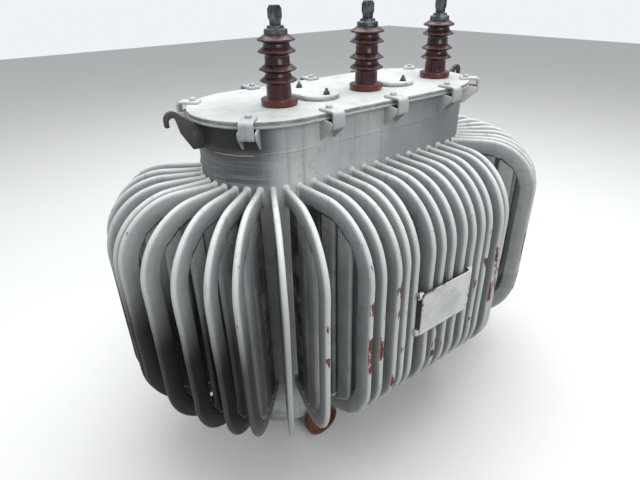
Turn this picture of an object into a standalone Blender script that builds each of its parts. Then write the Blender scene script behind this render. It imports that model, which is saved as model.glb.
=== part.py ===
"""Oil-filled distribution transformer with tubular cooling fins, standing on four roller wheels.

A round-ended tank carries bent oval tubes all the way round. Each fin is one outer tube, bent twice and
welded into the wall at both ends, with three straight risers between its two level runs. The lid is held
on the tank's rim by bent clamps, and three porcelain bushings stand on it.

Lengths are in metres. +X runs along the tank, -Y is the front, +Z is up, and the origin is on the ground
under the middle of the bounding box.
"""

import math

import bmesh
import bpy
from mathutils import Matrix, Vector
from mathutils.geometry import tessellate_polygon

# Clearances
SEAT = 0.0003
RUNNING = 0.005
PIN_PLAY = 0.0005
WASHER_PLAY = 0.0008

# Tank
TANK_LENGTH = 1.061
TANK_WIDTH = 0.424
TANK_HEIGHT = 1.165
TANK_UNDERSIDE = 0.078
WALL_THICKNESS = 0.004
BOTTOM_THICKNESS = 0.006
BOTTOM_LEDGE = 0.002
END_SEAM = 0.008
ARC_SEGMENTS = 24

# Rim, gasket and lid
RIM_THICKNESS = 0.008
RIM_WIDTH = 0.028
RIM_OVERHANG = 0.0235
GASKET_THICKNESS = 0.005
GASKET_WIDTH = 0.018
GASKET_INSET = 0.002
LID_THICKNESS = 0.008
LID_CHAMFER = 0.002

# Cooling fins, which are numbered from the left, or round an end. Turns are in degrees
TUBE_WIDTH = 0.060
TUBE_THICKNESS = 0.017
TUBE_EDGE = 0.006
TUBE_BEND_RADIUS = 0.180
TUBE_BEND_SEGMENTS = 4
TUBE_BITE = 0.003
FIN_REACH = 0.333
FIN_DROP = 0.200
FIN_RISE = 0.1803
RISER_GAPS = (0.040, 0.008, 0.014)
SIDE_FINS = 14
END_FIN_SHIFT = 0.0182
FAN_FINS = 15
FAN_STEP = math.radians(10.5)
LEFT_FAN_FIRST = 3
LEFT_FIN_TURNS = {8: -11.5, 9: -6.0, 10: -2.5, 11: -2.0, 12: -7.0, 13: -2.5}
RIGHT_FIN_TURNS = {0: 21.5, 1: 11.0, 2: 2.5}
FRONT_FIN_TURNS = {
    0: 1.9, 1: 1.3, 2: 1.4, 4: -2.9, 6: -1.9, 7: -1.6, 8: -1.3, 9: -1.5, 10: -3.5, 11: -5.8, 12: -3.4, 13: -8.2,
}

# Lid clamps and the brackets that they hook under
CLAMP_WIDTH = 0.042
CLAMP_THICKNESS = 0.008
CLAMP_BEND = 0.014
CLAMP_BEND_SEGMENTS = 3
CLAMP_REACH = 0.060
CLAMP_TOP_LENGTH = 0.072
CLAMP_LIP_LENGTH = 0.047
CLAMP_DROP = 0.046
CLAMP_PITCH_SHARE = 0.245
CLAMP_SHIFT = 0.031
CLAMPS_A_SIDE = 3
FRONT_CLAMP_ANGLE = math.radians(49)
REAR_CLAMP_ANGLE = math.radians(40)
CHEEK_THICKNESS = 0.005
CHEEK_PLAY = 0.001
CHEEK_REACH = 0.056
CHEEK_HEIGHT = 0.064
CHEEK_CORNER = 0.008
WEB_REACH = 0.040
WEB_THICKNESS = 0.005

# High-voltage bushings
BUSHING_COUNT = 3
BUSHING_PITCH_SHARE = 0.3337
BUSHING_SHIFT = 0.062
BUSHING_SETBACK = 0.057
BUSHING_SIDES = 16
PORCELAIN_FILLET = 0.003
FLANGE_RADIUS = 0.057
FLANGE_HEIGHT = 0.022
BODY_RADIUS = 0.037
SHED_RADIUS = 0.057
SHED_EDGE = 0.004
SHED_UNDERCUT = 0.006
SHED_SLOPE = 0.009
SHED_HEIGHTS = (0.072, 0.104, 0.153)
CROWN_HEIGHT = 0.185
PORCELAIN_HEIGHT = 0.200
CAP_RADIUS = 0.0345
CAP_HEIGHT = 0.022
CAP_SHOULDER_HEIGHT = 0.0132
CAP_TOP_RADIUS = 0.0265
TERMINAL_HEIGHT = 0.052
TERMINAL_WIDTH = 0.034
TERMINAL_DEPTH = 0.026
TERMINAL_NECK_WIDTH = 0.025
TERMINAL_NECK_HEIGHT = 0.012
TERMINAL_SHOULDER = 0.009
TERMINAL_HOLE = 0.006
TERMINAL_HOLE_DROP = 0.0135
TERMINAL_SEGMENTS = 8

# Inspection covers
COVER_SHIFTS = (-0.025, -0.036)
COVER_SETBACK = 0.020
COVER_CLEARANCE = 0.050
COVER_STRAIGHT = 0.060
COVER_THICKNESS = 0.010
COVER_CHAMFER = 0.002
COVER_GASKET_THICKNESS = 0.005
COVER_GASKET_INSET = 0.003
COVER_SEGMENTS = 10

# Lifting hooks
HOOK_THICKNESS = 0.013
HOOK_ROOT_DROP = 0.100
HOOK_CROWN = 0.085
HOOK_BEAK_RADIUS = 0.0235
HOOK_BEAK_DROP = 0.0035
HOOK_THROAT_RADIUS = 0.011
HOOK_THROAT_DROP = 0.010
HOOK_TIP_DROP = 0.024
HOOK_BACK = ((0.036, 0.001), (0.0655, 0.053))

# Undercarriage
WHEEL_SETBACK = 0.0125
WHEEL_DIAMETER = 0.135
WHEEL_WIDTH = 0.040
WHEEL_RIM = 0.012
WHEEL_HUB_DIAMETER = 0.060
WHEEL_RECESS = 0.014
WHEEL_SIDES = 20
AXLE_DIAMETER = 0.028
AXLE_STUB = 0.006
AXLE_SIDES = 12
WASHER_DIAMETER = 0.046
WASHER_THICKNESS = 0.005
BEAM_WIDTH = 0.096
BEAM_CLEARANCE = 0.014
BEAM_PLATE = 0.007
AXLE_PLATE_THICKNESS = 0.008
AXLE_PLATE_HEIGHT = 0.096
AXLE_PLATE_MARGIN = 0.002
AXLE_PLATE_CORNER = 0.019

# Nameplate
NAMEPLATE_WIDTH = 0.228
NAMEPLATE_HEIGHT = 0.150
NAMEPLATE_THICKNESS = 0.003
NAMEPLATE_MARGIN = 0.004
NAMEPLATE_BORDER = 0.010
NAMEPLATE_BORDER_DEPTH = 0.001
NAMEPLATE_CENTRE_X = -0.032
NAMEPLATE_CENTRE_Z = 0.689
NAMEPLATE_TILT = math.radians(3.5)
TRAY_DEPTH = 0.018
TRAY_THICKNESS = 0.003

# Worked out from the sizes above
TANK_RADIUS = TANK_WIDTH / 2
HALF_STRAIGHT = (TANK_LENGTH - TANK_WIDTH) / 2
WALL_FOOT = TANK_UNDERSIDE + BOTTOM_THICKNESS + SEAT
RIM_UNDERSIDE = TANK_UNDERSIDE + TANK_HEIGHT
RIM_RADIUS = TANK_RADIUS + RIM_OVERHANG
GASKET_UNDERSIDE = RIM_UNDERSIDE + RIM_THICKNESS + SEAT
LID_UNDERSIDE = GASKET_UNDERSIDE + GASKET_THICKNESS
LID_TOP = LID_UNDERSIDE + LID_THICKNESS
SEAM_X = HALF_STRAIGHT - END_SEAM
FIN_TOP = LID_TOP - FIN_DROP
FIN_BOTTOM = TANK_UNDERSIDE + FIN_RISE
SIDE_FIN_PITCH = 2 * (HALF_STRAIGHT + END_FIN_SHIFT) / (SIDE_FINS - 1)
CLAMP_PITCH = TANK_LENGTH * CLAMP_PITCH_SHARE
BUSHING_PITCH = TANK_LENGTH * BUSHING_PITCH_SHARE
COVER_RADIUS = BUSHING_PITCH / 2 - FLANGE_RADIUS - COVER_CLEARANCE
WHEEL_SPACING = 2 * (HALF_STRAIGHT - WHEEL_SETBACK)
CLAMP_FACE = TANK_RADIUS + CLAMP_REACH
CLAMP_LIP_TOP = LID_TOP - CLAMP_DROP + CLAMP_THICKNESS
AXLE_HEIGHT = WHEEL_DIAMETER / 2
BEAM_TOP = TANK_UNDERSIDE - SEAT
AXLE_PLATE_INNER = TANK_RADIUS + BOTTOM_LEDGE + SEAT
AXLE_PLATE_OUTER = AXLE_PLATE_INNER + AXLE_PLATE_THICKNESS
WHEEL_INNER = AXLE_PLATE_OUTER + RUNNING
WHEEL_OUTER = WHEEL_INNER + WHEEL_WIDTH
FRONT_STANDOUT = TRAY_DEPTH + NAMEPLATE_THICKNESS + 2 * SEAT
TANK_AXIS_Y = FRONT_STANDOUT / 2

MATERIALS = {
    "grey_paint": ((0.44, 0.46, 0.46), 0.55, 0.0),
    "lid_paint": ((0.62, 0.64, 0.63), 0.55, 0.0),
    "porcelain": ((0.085, 0.014, 0.014), 0.16, 0.0),
    "terminal_metal": ((0.16, 0.18, 0.19), 0.45, 0.8),
    "black_rubber": ((0.02, 0.02, 0.02), 0.85, 0.0),
    "rusty_iron": ((0.17, 0.075, 0.045), 0.85, 0.2),
    "plate_enamel": ((0.70, 0.71, 0.69), 0.40, 0.0),
}


def clear_scene():
    """Remove every object that the file opened with."""
    for thing in list(bpy.data.objects):
        bpy.data.objects.remove(thing, do_unlink=True)


def material(name):
    """Return the named Principled material, made once."""
    found = bpy.data.materials.get(name)
    if found:
        return found
    colour, roughness, metallic = MATERIALS[name]
    made = bpy.data.materials.new(name)
    made.use_nodes = True
    shader = made.node_tree.nodes["Principled BSDF"]
    shader.inputs["Base Color"].default_value = (*colour, 1.0)
    shader.inputs["Roughness"].default_value = roughness
    shader.inputs["Metallic"].default_value = metallic
    return made


def add_object(name, bm, material_name, parent, smooth_angle=35):
    """Turn a bmesh into a named, shaded object under its parent."""
    bmesh.ops.recalc_face_normals(bm, faces=bm.faces)
    mesh = bpy.data.meshes.new(name)
    bm.to_mesh(mesh)
    bm.free()
    mesh.materials.append(material(material_name))
    mesh.shade_smooth()
    mesh.set_sharp_from_angle(angle=math.radians(smooth_angle))
    made = bpy.data.objects.new(name, mesh)
    bpy.context.scene.collection.objects.link(made)
    made.parent = parent
    return made


def as_helper(thing):
    """Keep an operand of a Boolean out of the finished part."""
    thing.hide_render = True
    thing.display_type = "WIRE"
    return thing


def combine(base, other, operation):
    """Add a Boolean modifier that joins another object to the base, or cuts it out."""
    step = base.modifiers.new(operation.title(), "BOOLEAN")
    step.operation = operation
    step.solver = "EXACT"
    step.object = other


def add_faces(bm, matrix, vertices, faces):
    """Add a list of vertices, moved by the matrix, and the faces between them."""
    made = [bm.verts.new(matrix @ Vector(vertex)) for vertex in vertices]
    for face in faces:
        bm.faces.new([made[index] for index in face])


def prism(bm, loops, low, high, matrix=Matrix()):
    """Extrude an outline along local Z. The first loop is the outside and any others are holes."""
    points = [point for loop in loops for point in loop]
    count = len(points)
    vertices = [(u, v, low) for u, v in points] + [(u, v, high) for u, v in points]
    caps = tessellate_polygon([[Vector((u, v, 0)) for u, v in loop] for loop in loops])
    faces = [tuple(cap) for cap in caps] + [tuple(index + count for index in cap) for cap in caps]
    start = 0
    for loop in loops:
        for index in range(len(loop)):
            a = start + index
            b = start + (index + 1) % len(loop)
            faces.append((a, b, b + count, a + count))
        start += len(loop)
    add_faces(bm, matrix, vertices, faces)


def loft(bm, rings):
    """Skin a stack of rings that have the same number of points, and close both ends."""
    count = len(rings[0])
    vertices = [vertex for ring in rings for vertex in ring]
    faces = [tuple(range(count)), tuple(range(len(vertices) - count, len(vertices)))]
    for level in range(len(rings) - 1):
        for index in range(count):
            a = level * count + index
            b = level * count + (index + 1) % count
            faces.append((a, b, b + count, a + count))
    add_faces(bm, Matrix(), vertices, faces)


def turned(bm, profile, sides, matrix=Matrix()):
    """Turn a profile of (radius, height) points round local Z.

    A profile that starts and ends on the axis makes a solid, and any other is closed into a ring. The
    flats between the vertices face the axes, and lie at the profile's radius.
    """
    solid = profile[0][0] == 0
    corners = profile[1:-1] if solid else profile
    stretch = 1 / math.cos(math.pi / sides)
    vertices = []
    for radius, height in corners:
        for side in range(sides):
            angle = 2 * math.pi * (side + 0.5) / sides
            vertices.append((radius * stretch * math.cos(angle), radius * stretch * math.sin(angle), height))
    rows = len(corners)
    faces = []
    for row in range(rows - 1 if solid else rows):
        for side in range(sides):
            a = row * sides + side
            b = row * sides + (side + 1) % sides
            step = sides if row < rows - 1 else -sides * row
            faces.append((a, b, b + step, a + step))
    if solid:
        faces.append(tuple(range(sides)))
        faces.append(tuple(range((rows - 1) * sides, rows * sides)))
    add_faces(bm, matrix, vertices, faces)


def arc(centre, radius, start, end, segments):
    """Return the points of an arc, ends included. Angles are in degrees from the first axis."""
    points = []
    for step in range(segments + 1):
        angle = math.radians(start + (end - start) * step / segments)
        points.append((centre[0] + radius * math.cos(angle), centre[1] + radius * math.sin(angle)))
    return points


def obround(radius, half_straight=HALF_STRAIGHT, segments=ARC_SEGMENTS):
    """Return a round-ended outline along the first axis, anticlockwise."""
    return arc((half_straight, 0), radius, -90, 90, segments) + arc((-half_straight, 0), radius, 90, 270, segments)


def at_height(outline, height):
    """Lift a flat outline into a ring of vertices."""
    return [(x, y, height) for x, y in outline]


def outward(x, angle):
    """Return a frame on the tank's axis at x, with its local X pointing outward at this angle from +X."""
    return Matrix.Translation((x, 0, 0)) @ Matrix.Rotation(angle, 4, "Z")


def upright(frame):
    """Turn a frame so that an outline in (outward, height) extrudes sideways from it."""
    return frame @ Matrix.Rotation(math.radians(90), 4, "X")


def swung(place, turn):
    """Bend a fin aside: turn its frame, in degrees, about the spot where its tube meets the wall.

    Its root is seated deeper by half of what the turn lifts its corner.
    """
    angle = math.radians(turn)
    spot = Matrix.Translation((TANK_RADIUS, 0, 0))
    deeper = abs(math.sin(angle)) * TUBE_THICKNESS / 4
    return place @ spot @ Matrix.Rotation(angle, 4, "Z") @ Matrix.Translation((-TANK_RADIUS - deeper, 0, 0))


def side_fin_places(count_from, count_to, side):
    """Return the frames of the side's fins with these numbers, counted from the left."""
    middle = (SIDE_FINS - 1) / 2
    turns = FRONT_FIN_TURNS if side < 0 else {}
    return [
        swung(outward((number - middle) * SIDE_FIN_PITCH, math.radians(90) * side), turns.get(number, 0))
        for number in range(count_from, count_to)
    ]


def end_fin_places(end):
    """Return the frames of the fins on one rounded end: its fan, and the last straight fin of each side.

    The left end's fan has no fins at its rear corner.
    """
    middle = (FAN_FINS - 1) / 2
    heading, first, turns = (0, 0, RIGHT_FIN_TURNS) if end > 0 else (math.pi, LEFT_FAN_FIRST, LEFT_FIN_TURNS)
    fan = [
        swung(outward(end * HALF_STRAIGHT, heading + (number - middle) * FAN_STEP), turns.get(number, 0))
        for number in range(first, FAN_FINS)
    ]
    last = SIDE_FINS - 1 if end > 0 else 0
    return fan + side_fin_places(last, last + 1, -1) + side_fin_places(last, last + 1, 1)


def riser_edges():
    """Return the inner and outer distance of each riser from the tank's centre line."""
    edges = []
    inner = TANK_RADIUS
    for gap in RISER_GAPS:
        inner += gap
        edges.append((inner, inner + TUBE_WIDTH))
        inner += TUBE_WIDTH
    return edges


def fin_loops():
    """Return a fin's outline and its gaps, as (distance outward, height), with metal on the left.

    Each loop comes with the depth of the rounded edge at each of its sides.
    """
    root = TANK_RADIUS - TUBE_BITE
    outer = TANK_RADIUS + FIN_REACH
    bend_outer = TUBE_BEND_RADIUS + TUBE_WIDTH / 2
    bend_inner = TUBE_BEND_RADIUS - TUBE_WIDTH / 2
    centre = outer - bend_outer
    low = (centre, FIN_BOTTOM + bend_outer)
    high = (centre, FIN_TOP - bend_outer)
    first, second, third = riser_edges()

    outline = [(root, FIN_BOTTOM)]
    outline += arc(low, bend_outer, -90, 0, TUBE_BEND_SEGMENTS)
    outline += arc(high, bend_outer, 0, 90, TUBE_BEND_SEGMENTS)
    outline += [
        (root, FIN_TOP),
        (root, FIN_TOP - TUBE_WIDTH),
        (first[0], FIN_TOP - TUBE_WIDTH),
        (first[0], FIN_BOTTOM + TUBE_WIDTH),
        (root, FIN_BOTTOM + TUBE_WIDTH),
    ]
    depths = [TUBE_EDGE] * len(outline)
    depths[-1] = 0
    depths[-5] = 0

    def inner_heights(distance):
        """Return the heights of the bend's inner edge at this distance outward, low and high."""
        rise = math.sqrt(bend_inner**2 - max(distance - centre, 0) ** 2)
        return low[1] - rise, high[1] + rise

    loops = [(outline, depths)]
    for inside, outside in ((first, second), (second, third)):
        near = inner_heights(inside[1])
        far = inner_heights(outside[0])
        gap = [(inside[1], near[0]), (inside[1], near[1]), (outside[0], far[1]), (outside[0], far[0])]
        loops.append((gap, [0] * 4))
    reach = math.degrees(math.acos((third[1] - centre) / bend_inner))
    gap = arc(high, bend_inner, reach, 0, 2) + arc(low, bend_inner, 0, -reach, 2)
    loops.append((gap, [TUBE_EDGE] * len(gap)))
    return loops


def inset(points, depths):
    """Move each side of a closed loop to its left by its own depth, and return the new corners."""
    corners = []
    for index, point in enumerate(points):
        before = (Vector(point) - Vector(points[index - 1])).normalized()
        after = (Vector(points[(index + 1) % len(points)]) - Vector(point)).normalized()
        near = Vector(point) + depths[index - 1] * Vector((-before.y, before.x))
        far = Vector(point) + depths[index] * Vector((-after.y, after.x))
        turn = before.x * after.y - before.y * after.x
        along = ((far - near).x * after.y - (far - near).y * after.x) / turn
        corners.append(tuple(near + along * before))
    return corners


def add_fin(bm, place):
    """Add one fin: flat-sided tubes whose outer edges come to a ridge, fused where they are welded."""
    half = TUBE_THICKNESS / 2
    flats = []
    vertices = []
    faces = []
    for points, depths in fin_loops():
        ridged = any(depths)
        flat = inset(points, depths) if ridged else points
        flats.append(flat)
        start = len(vertices)
        count = len(points)
        vertices += [(u, v, half) for u, v in flat]
        vertices += [(u, v, -half) for u, v in flat]
        vertices += [(u, v, 0) for u, v in points] if ridged else []
        for index in range(count):
            a = start + index
            b = start + (index + 1) % count
            if not ridged:
                faces.append((a, b, b + count, a + count))
                continue
            faces.append((a, b, b + 2 * count, a + 2 * count))
            faces.append((a + 2 * count, b + 2 * count, b + count, a + count))
    front = []
    back = []
    start = 0
    for points, depths in fin_loops():
        front += range(start, start + len(points))
        back += range(start + len(points), start + 2 * len(points))
        start += len(points) * (3 if any(depths) else 2)
    for a, b, c in tessellate_polygon([[Vector((u, v, 0)) for u, v in flat] for flat in flats]):
        faces.append((front[a], front[b], front[c]))
        faces.append((back[a], back[b], back[c]))
    add_faces(bm, upright(place), vertices, faces)


def fin_bank(name, places, parent):
    """Return a helper that holds every fin of one wall."""
    bm = bmesh.new()
    for place in places:
        add_fin(bm, place)
    return as_helper(add_object(name, bm, "grey_paint", parent))


def side_wall(name, side, parent):
    """Make one long wall with the fins that it carries. Side is -1 at the front and 1 at the rear."""
    bm = bmesh.new()
    faces = sorted((side * (TANK_RADIUS - WALL_THICKNESS), side * TANK_RADIUS))
    outline = [(-SEAM_X, faces[0]), (SEAM_X, faces[0]), (SEAM_X, faces[1]), (-SEAM_X, faces[1])]
    prism(bm, [outline], WALL_FOOT, RIM_UNDERSIDE - SEAT)
    wall = add_object(name, bm, "grey_paint", parent)
    combine(wall, fin_bank(name + "_fins", side_fin_places(1, SIDE_FINS - 1, side), parent), "UNION")
    return wall


def end_wall(name, end, parent):
    """Make one rounded end of the tank with its fins. End is -1 at the left and 1 at the right."""
    bm = bmesh.new()
    seam = SEAM_X + SEAT
    centre = (HALF_STRAIGHT, 0)
    outer = arc(centre, TANK_RADIUS, -90, 90, ARC_SEGMENTS)
    inner = arc(centre, TANK_RADIUS - WALL_THICKNESS, 90, -90, ARC_SEGMENTS)
    outline = [(seam, outer[0][1])] + outer + [(seam, outer[-1][1]), (seam, inner[0][1])] + inner
    outline.append((seam, inner[-1][1]))
    prism(bm, [[(end * x, y) for x, y in outline]], WALL_FOOT, RIM_UNDERSIDE - SEAT)
    wall = add_object(name, bm, "grey_paint", parent)
    combine(wall, fin_bank(name + "_fins", end_fin_places(end), parent), "UNION")
    return wall


def tank_bottom(parent):
    """Make the bottom plate, which stands out from the wall all round by its weld ledge."""
    bm = bmesh.new()
    prism(bm, [obround(TANK_RADIUS + BOTTOM_LEDGE)], TANK_UNDERSIDE, TANK_UNDERSIDE + BOTTOM_THICKNESS)
    return add_object("tank_bottom", bm, "grey_paint", parent)


def clamp_places():
    """Return the frame of each lid clamp: those of the front and the rear, then those of the ends."""
    places = []
    for side in (-1, 1):
        for number in range(CLAMPS_A_SIDE):
            x = (number - (CLAMPS_A_SIDE - 1) / 2) * CLAMP_PITCH + CLAMP_SHIFT
            places.append(outward(x, math.radians(90) * side))
    for end, heading in ((-1, math.pi), (1, 0)):
        for turn in (-1, 1):
            angle = FRONT_CLAMP_ANGLE if end * turn < 0 else REAR_CLAMP_ANGLE
            places.append(outward(end * HALF_STRAIGHT, heading + turn * angle))
    return places


def add_bracket(bm, place):
    """Add the bracket under the rim that a clamp hooks into: two slanted cheeks and a web between them."""
    root = TANK_RADIUS + SEAT
    top = RIM_UNDERSIDE + RIM_THICKNESS / 2
    low = RIM_UNDERSIDE - CHEEK_HEIGHT + RIM_THICKNESS / 2
    tip = TANK_RADIUS + CHEEK_REACH
    lobe = (tip - CHEEK_CORNER, CLAMP_LIP_TOP + CHEEK_CORNER / 2)
    cheek = [(root, low), (root + CHEEK_CORNER, low)] + arc(lobe, CHEEK_CORNER, -60, 0, 2)
    cheek += [(tip, top - CHEEK_CORNER), (tip - CHEEK_CORNER, top), (root, top)]
    web_top = CLAMP_LIP_TOP + SEAT + WEB_THICKNESS
    web_tip = TANK_RADIUS + WEB_REACH
    web = [(root, CLAMP_LIP_TOP + SEAT), (web_tip, CLAMP_LIP_TOP + SEAT), (web_tip, web_top), (root, web_top)]
    inner = CLAMP_WIDTH / 2 + CHEEK_PLAY
    for side in (-1, 1):
        near, far = sorted((side * inner, side * (inner + CHEEK_THICKNESS)))
        prism(bm, [cheek], near, far, upright(place))
    return web, inner


def tank_rim(parent):
    """Make the rim that the gasket lies on, with the clamp brackets welded under it."""
    bm = bmesh.new()
    loops = [obround(RIM_RADIUS), obround(RIM_RADIUS - RIM_WIDTH)[::-1]]
    prism(bm, loops, RIM_UNDERSIDE, RIM_UNDERSIDE + RIM_THICKNESS)
    rim = add_object("tank_rim", bm, "grey_paint", parent)
    cheeks = bmesh.new()
    webs = bmesh.new()
    for place in clamp_places():
        web, inner = add_bracket(cheeks, place)
        half = inner + CHEEK_THICKNESS / 2
        prism(webs, [web], -half, half, upright(place))
    combine(rim, as_helper(add_object("bracket_cheeks", cheeks, "grey_paint", parent)), "UNION")
    combine(rim, as_helper(add_object("bracket_webs", webs, "grey_paint", parent)), "UNION")
    return rim


def lid_gasket(parent):
    """Make the gasket between the rim and the lid."""
    bm = bmesh.new()
    outer = RIM_RADIUS - GASKET_INSET
    loops = [obround(outer), obround(outer - GASKET_WIDTH)[::-1]]
    prism(bm, loops, GASKET_UNDERSIDE, LID_UNDERSIDE - SEAT)
    return add_object("lid_gasket", bm, "black_rubber", parent)


def lid(parent):
    """Make the lid, a flat plate with its top edge broken."""
    bm = bmesh.new()
    loft(bm, [
        at_height(obround(RIM_RADIUS), LID_UNDERSIDE),
        at_height(obround(RIM_RADIUS), LID_TOP - LID_CHAMFER),
        at_height(obround(RIM_RADIUS - LID_CHAMFER), LID_TOP),
    ])
    return add_object("lid", bm, "lid_paint", parent)


def clamp_outline():
    """Return a clamp's side view: a flat bar bent over the lid and back in under its bracket's web."""
    top = LID_TOP + SEAT + CLAMP_THICKNESS
    inner = CLAMP_FACE - CLAMP_THICKNESS
    bend = (CLAMP_FACE - CLAMP_BEND, top - CLAMP_BEND)
    low = CLAMP_LIP_TOP - CLAMP_THICKNESS
    outline = [(CLAMP_FACE - CLAMP_TOP_LENGTH, LID_TOP + SEAT)]
    outline += arc(bend, CLAMP_BEND - CLAMP_THICKNESS, 90, 0, CLAMP_BEND_SEGMENTS)
    outline += [(inner, CLAMP_LIP_TOP), (CLAMP_FACE - CLAMP_LIP_LENGTH, CLAMP_LIP_TOP)]
    outline += [(CLAMP_FACE - CLAMP_LIP_LENGTH, low), (CLAMP_FACE, low)]
    outline += arc(bend, CLAMP_BEND, 0, 90, CLAMP_BEND_SEGMENTS)
    outline.append((CLAMP_FACE - CLAMP_TOP_LENGTH, top))
    return outline


def lid_clamps(parent):
    """Make every lid clamp."""
    for number, place in enumerate(clamp_places(), start=1):
        bm = bmesh.new()
        prism(bm, [clamp_outline()], -CLAMP_WIDTH / 2, CLAMP_WIDTH / 2, upright(place))
        add_object(f"lid_clamp_{number:02d}", bm, "grey_paint", parent)


def porcelain_profile():
    """Return the turned profile of a bushing: its foot, its sheds from low to high, and its long crown."""
    shoulder = BODY_RADIUS + PORCELAIN_FILLET
    profile = [(0, 0), (FLANGE_RADIUS, 0), (FLANGE_RADIUS, FLANGE_HEIGHT - PORCELAIN_FILLET)]
    profile += [(FLANGE_RADIUS - PORCELAIN_FILLET, FLANGE_HEIGHT), (shoulder, FLANGE_HEIGHT + PORCELAIN_FILLET)]
    for height in SHED_HEIGHTS + (CROWN_HEIGHT,):
        lip = height - SHED_EDGE / 2
        profile += [(BODY_RADIUS, height - SHED_UNDERCUT), (SHED_RADIUS, lip), (SHED_RADIUS, lip + SHED_EDGE)]
        profile.append((shoulder, height + SHED_SLOPE))
    profile[-1] = (CAP_RADIUS, PORCELAIN_HEIGHT)
    profile.append((0, PORCELAIN_HEIGHT))
    return profile


def add_terminal(number, foot, parent):
    """Make the connector on a bushing's cap: a neck and a round head with a cross hole for the conductor."""
    half = TERMINAL_WIDTH / 2
    neck = TERMINAL_NECK_WIDTH / 2
    waist = TERMINAL_NECK_HEIGHT
    shoulder = TERMINAL_NECK_HEIGHT + TERMINAL_SHOULDER
    crown = (0, TERMINAL_HEIGHT - half)
    block = [(neck, 0), (neck, waist), (half, shoulder)] + arc(crown, half, 0, 180, TERMINAL_SEGMENTS)
    block += [(-half, shoulder), (-neck, waist), (-neck, 0)]
    hole = arc((0, TERMINAL_HEIGHT - TERMINAL_HOLE_DROP), TERMINAL_HOLE, 360, 0, TERMINAL_SEGMENTS)[:-1]
    bm = bmesh.new()
    prism(bm, [block, hole], -TERMINAL_DEPTH / 2, TERMINAL_DEPTH / 2, upright(Matrix.Translation(foot)))
    add_object(f"terminal_{number}", bm, "terminal_metal", parent)


def bushing_x(number):
    """Return how far along the tank a bushing stands, or a place between two with a half number."""
    return (number - (BUSHING_COUNT + 1) / 2) * BUSHING_PITCH + BUSHING_SHIFT


def bushings(parent):
    """Make the high-voltage bushings, each with its metal cap and terminal."""
    for number in range(1, BUSHING_COUNT + 1):
        foot = Vector((bushing_x(number), -BUSHING_SETBACK, LID_TOP + SEAT))
        bm = bmesh.new()
        turned(bm, porcelain_profile(), BUSHING_SIDES, Matrix.Translation(foot))
        add_object(f"bushing_{number}", bm, "porcelain", parent)

        foot.z += PORCELAIN_HEIGHT + SEAT
        cap = [(0, 0), (CAP_RADIUS, 0), (CAP_RADIUS, CAP_SHOULDER_HEIGHT), (CAP_TOP_RADIUS, CAP_HEIGHT), (0, CAP_HEIGHT)]
        bm = bmesh.new()
        turned(bm, cap, BUSHING_SIDES, Matrix.Translation(foot))
        add_object(f"bushing_cap_{number}", bm, "terminal_metal", parent)

        foot.z += CAP_HEIGHT + SEAT
        add_terminal(number, foot, parent)


def inspection_covers(parent):
    """Make the oval covers between the bushings, each on its gasket."""
    for number, shift in enumerate(COVER_SHIFTS, start=1):
        x = bushing_x(number + 0.5) + shift
        turn = Matrix.Translation((x, -COVER_SETBACK, 0)) @ Matrix.Rotation(math.radians(90), 4, "Z")

        def outline(radius):
            flat = obround(radius, COVER_STRAIGHT / 2, COVER_SEGMENTS)
            return [(turn @ Vector((u, v, 0))).to_2d() for u, v in flat]

        low = LID_TOP + SEAT
        bm = bmesh.new()
        prism(bm, [outline(COVER_RADIUS - COVER_GASKET_INSET)], low, low + COVER_GASKET_THICKNESS)
        add_object(f"cover_gasket_{number}", bm, "black_rubber", parent)

        low += COVER_GASKET_THICKNESS + SEAT
        top = low + COVER_THICKNESS
        bm = bmesh.new()
        loft(bm, [
            at_height(outline(COVER_RADIUS), low),
            at_height(outline(COVER_RADIUS), top - COVER_CHAMFER),
            at_height(outline(COVER_RADIUS - COVER_CHAMFER), top),
        ])
        add_object(f"inspection_cover_{number}", bm, "lid_paint", parent)


def hook_outline():
    """Return a lifting hook's side view, as (distance outward, height). It curls out and down over the lid."""
    root = TANK_RADIUS + SEAT
    crown = root + HOOK_CROWN
    throat = (crown, LID_TOP - HOOK_THROAT_DROP)
    beak = (crown, LID_TOP - HOOK_BEAK_DROP)
    foot = LID_TOP - HOOK_ROOT_DROP
    shank = RIM_UNDERSIDE - SEAT
    outline = [(root, foot)] + [(root + out, foot + up) for out, up in HOOK_BACK]
    outline += arc(throat, HOOK_THROAT_RADIUS, 170, 0, 6)
    outline.append((crown + HOOK_THROAT_RADIUS, LID_TOP - HOOK_TIP_DROP))
    outline.append((crown + HOOK_BEAK_RADIUS, LID_TOP - HOOK_TIP_DROP))
    outline += arc(beak, HOOK_BEAK_RADIUS, 0, 140, 7)
    outline += [(RIM_RADIUS + SEAT, shank), (root, shank)]
    return outline


def lifting_hooks(parent):
    """Make the hook plate that stands on each end of the tank."""
    for name, end, heading in (("lifting_hook_left", -1, math.pi), ("lifting_hook_right", 1, 0)):
        bm = bmesh.new()
        place = upright(outward(end * HALF_STRAIGHT, heading))
        prism(bm, [hook_outline()], -HOOK_THICKNESS / 2, HOOK_THICKNESS / 2, place)
        add_object(name, bm, "grey_paint", parent)


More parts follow.
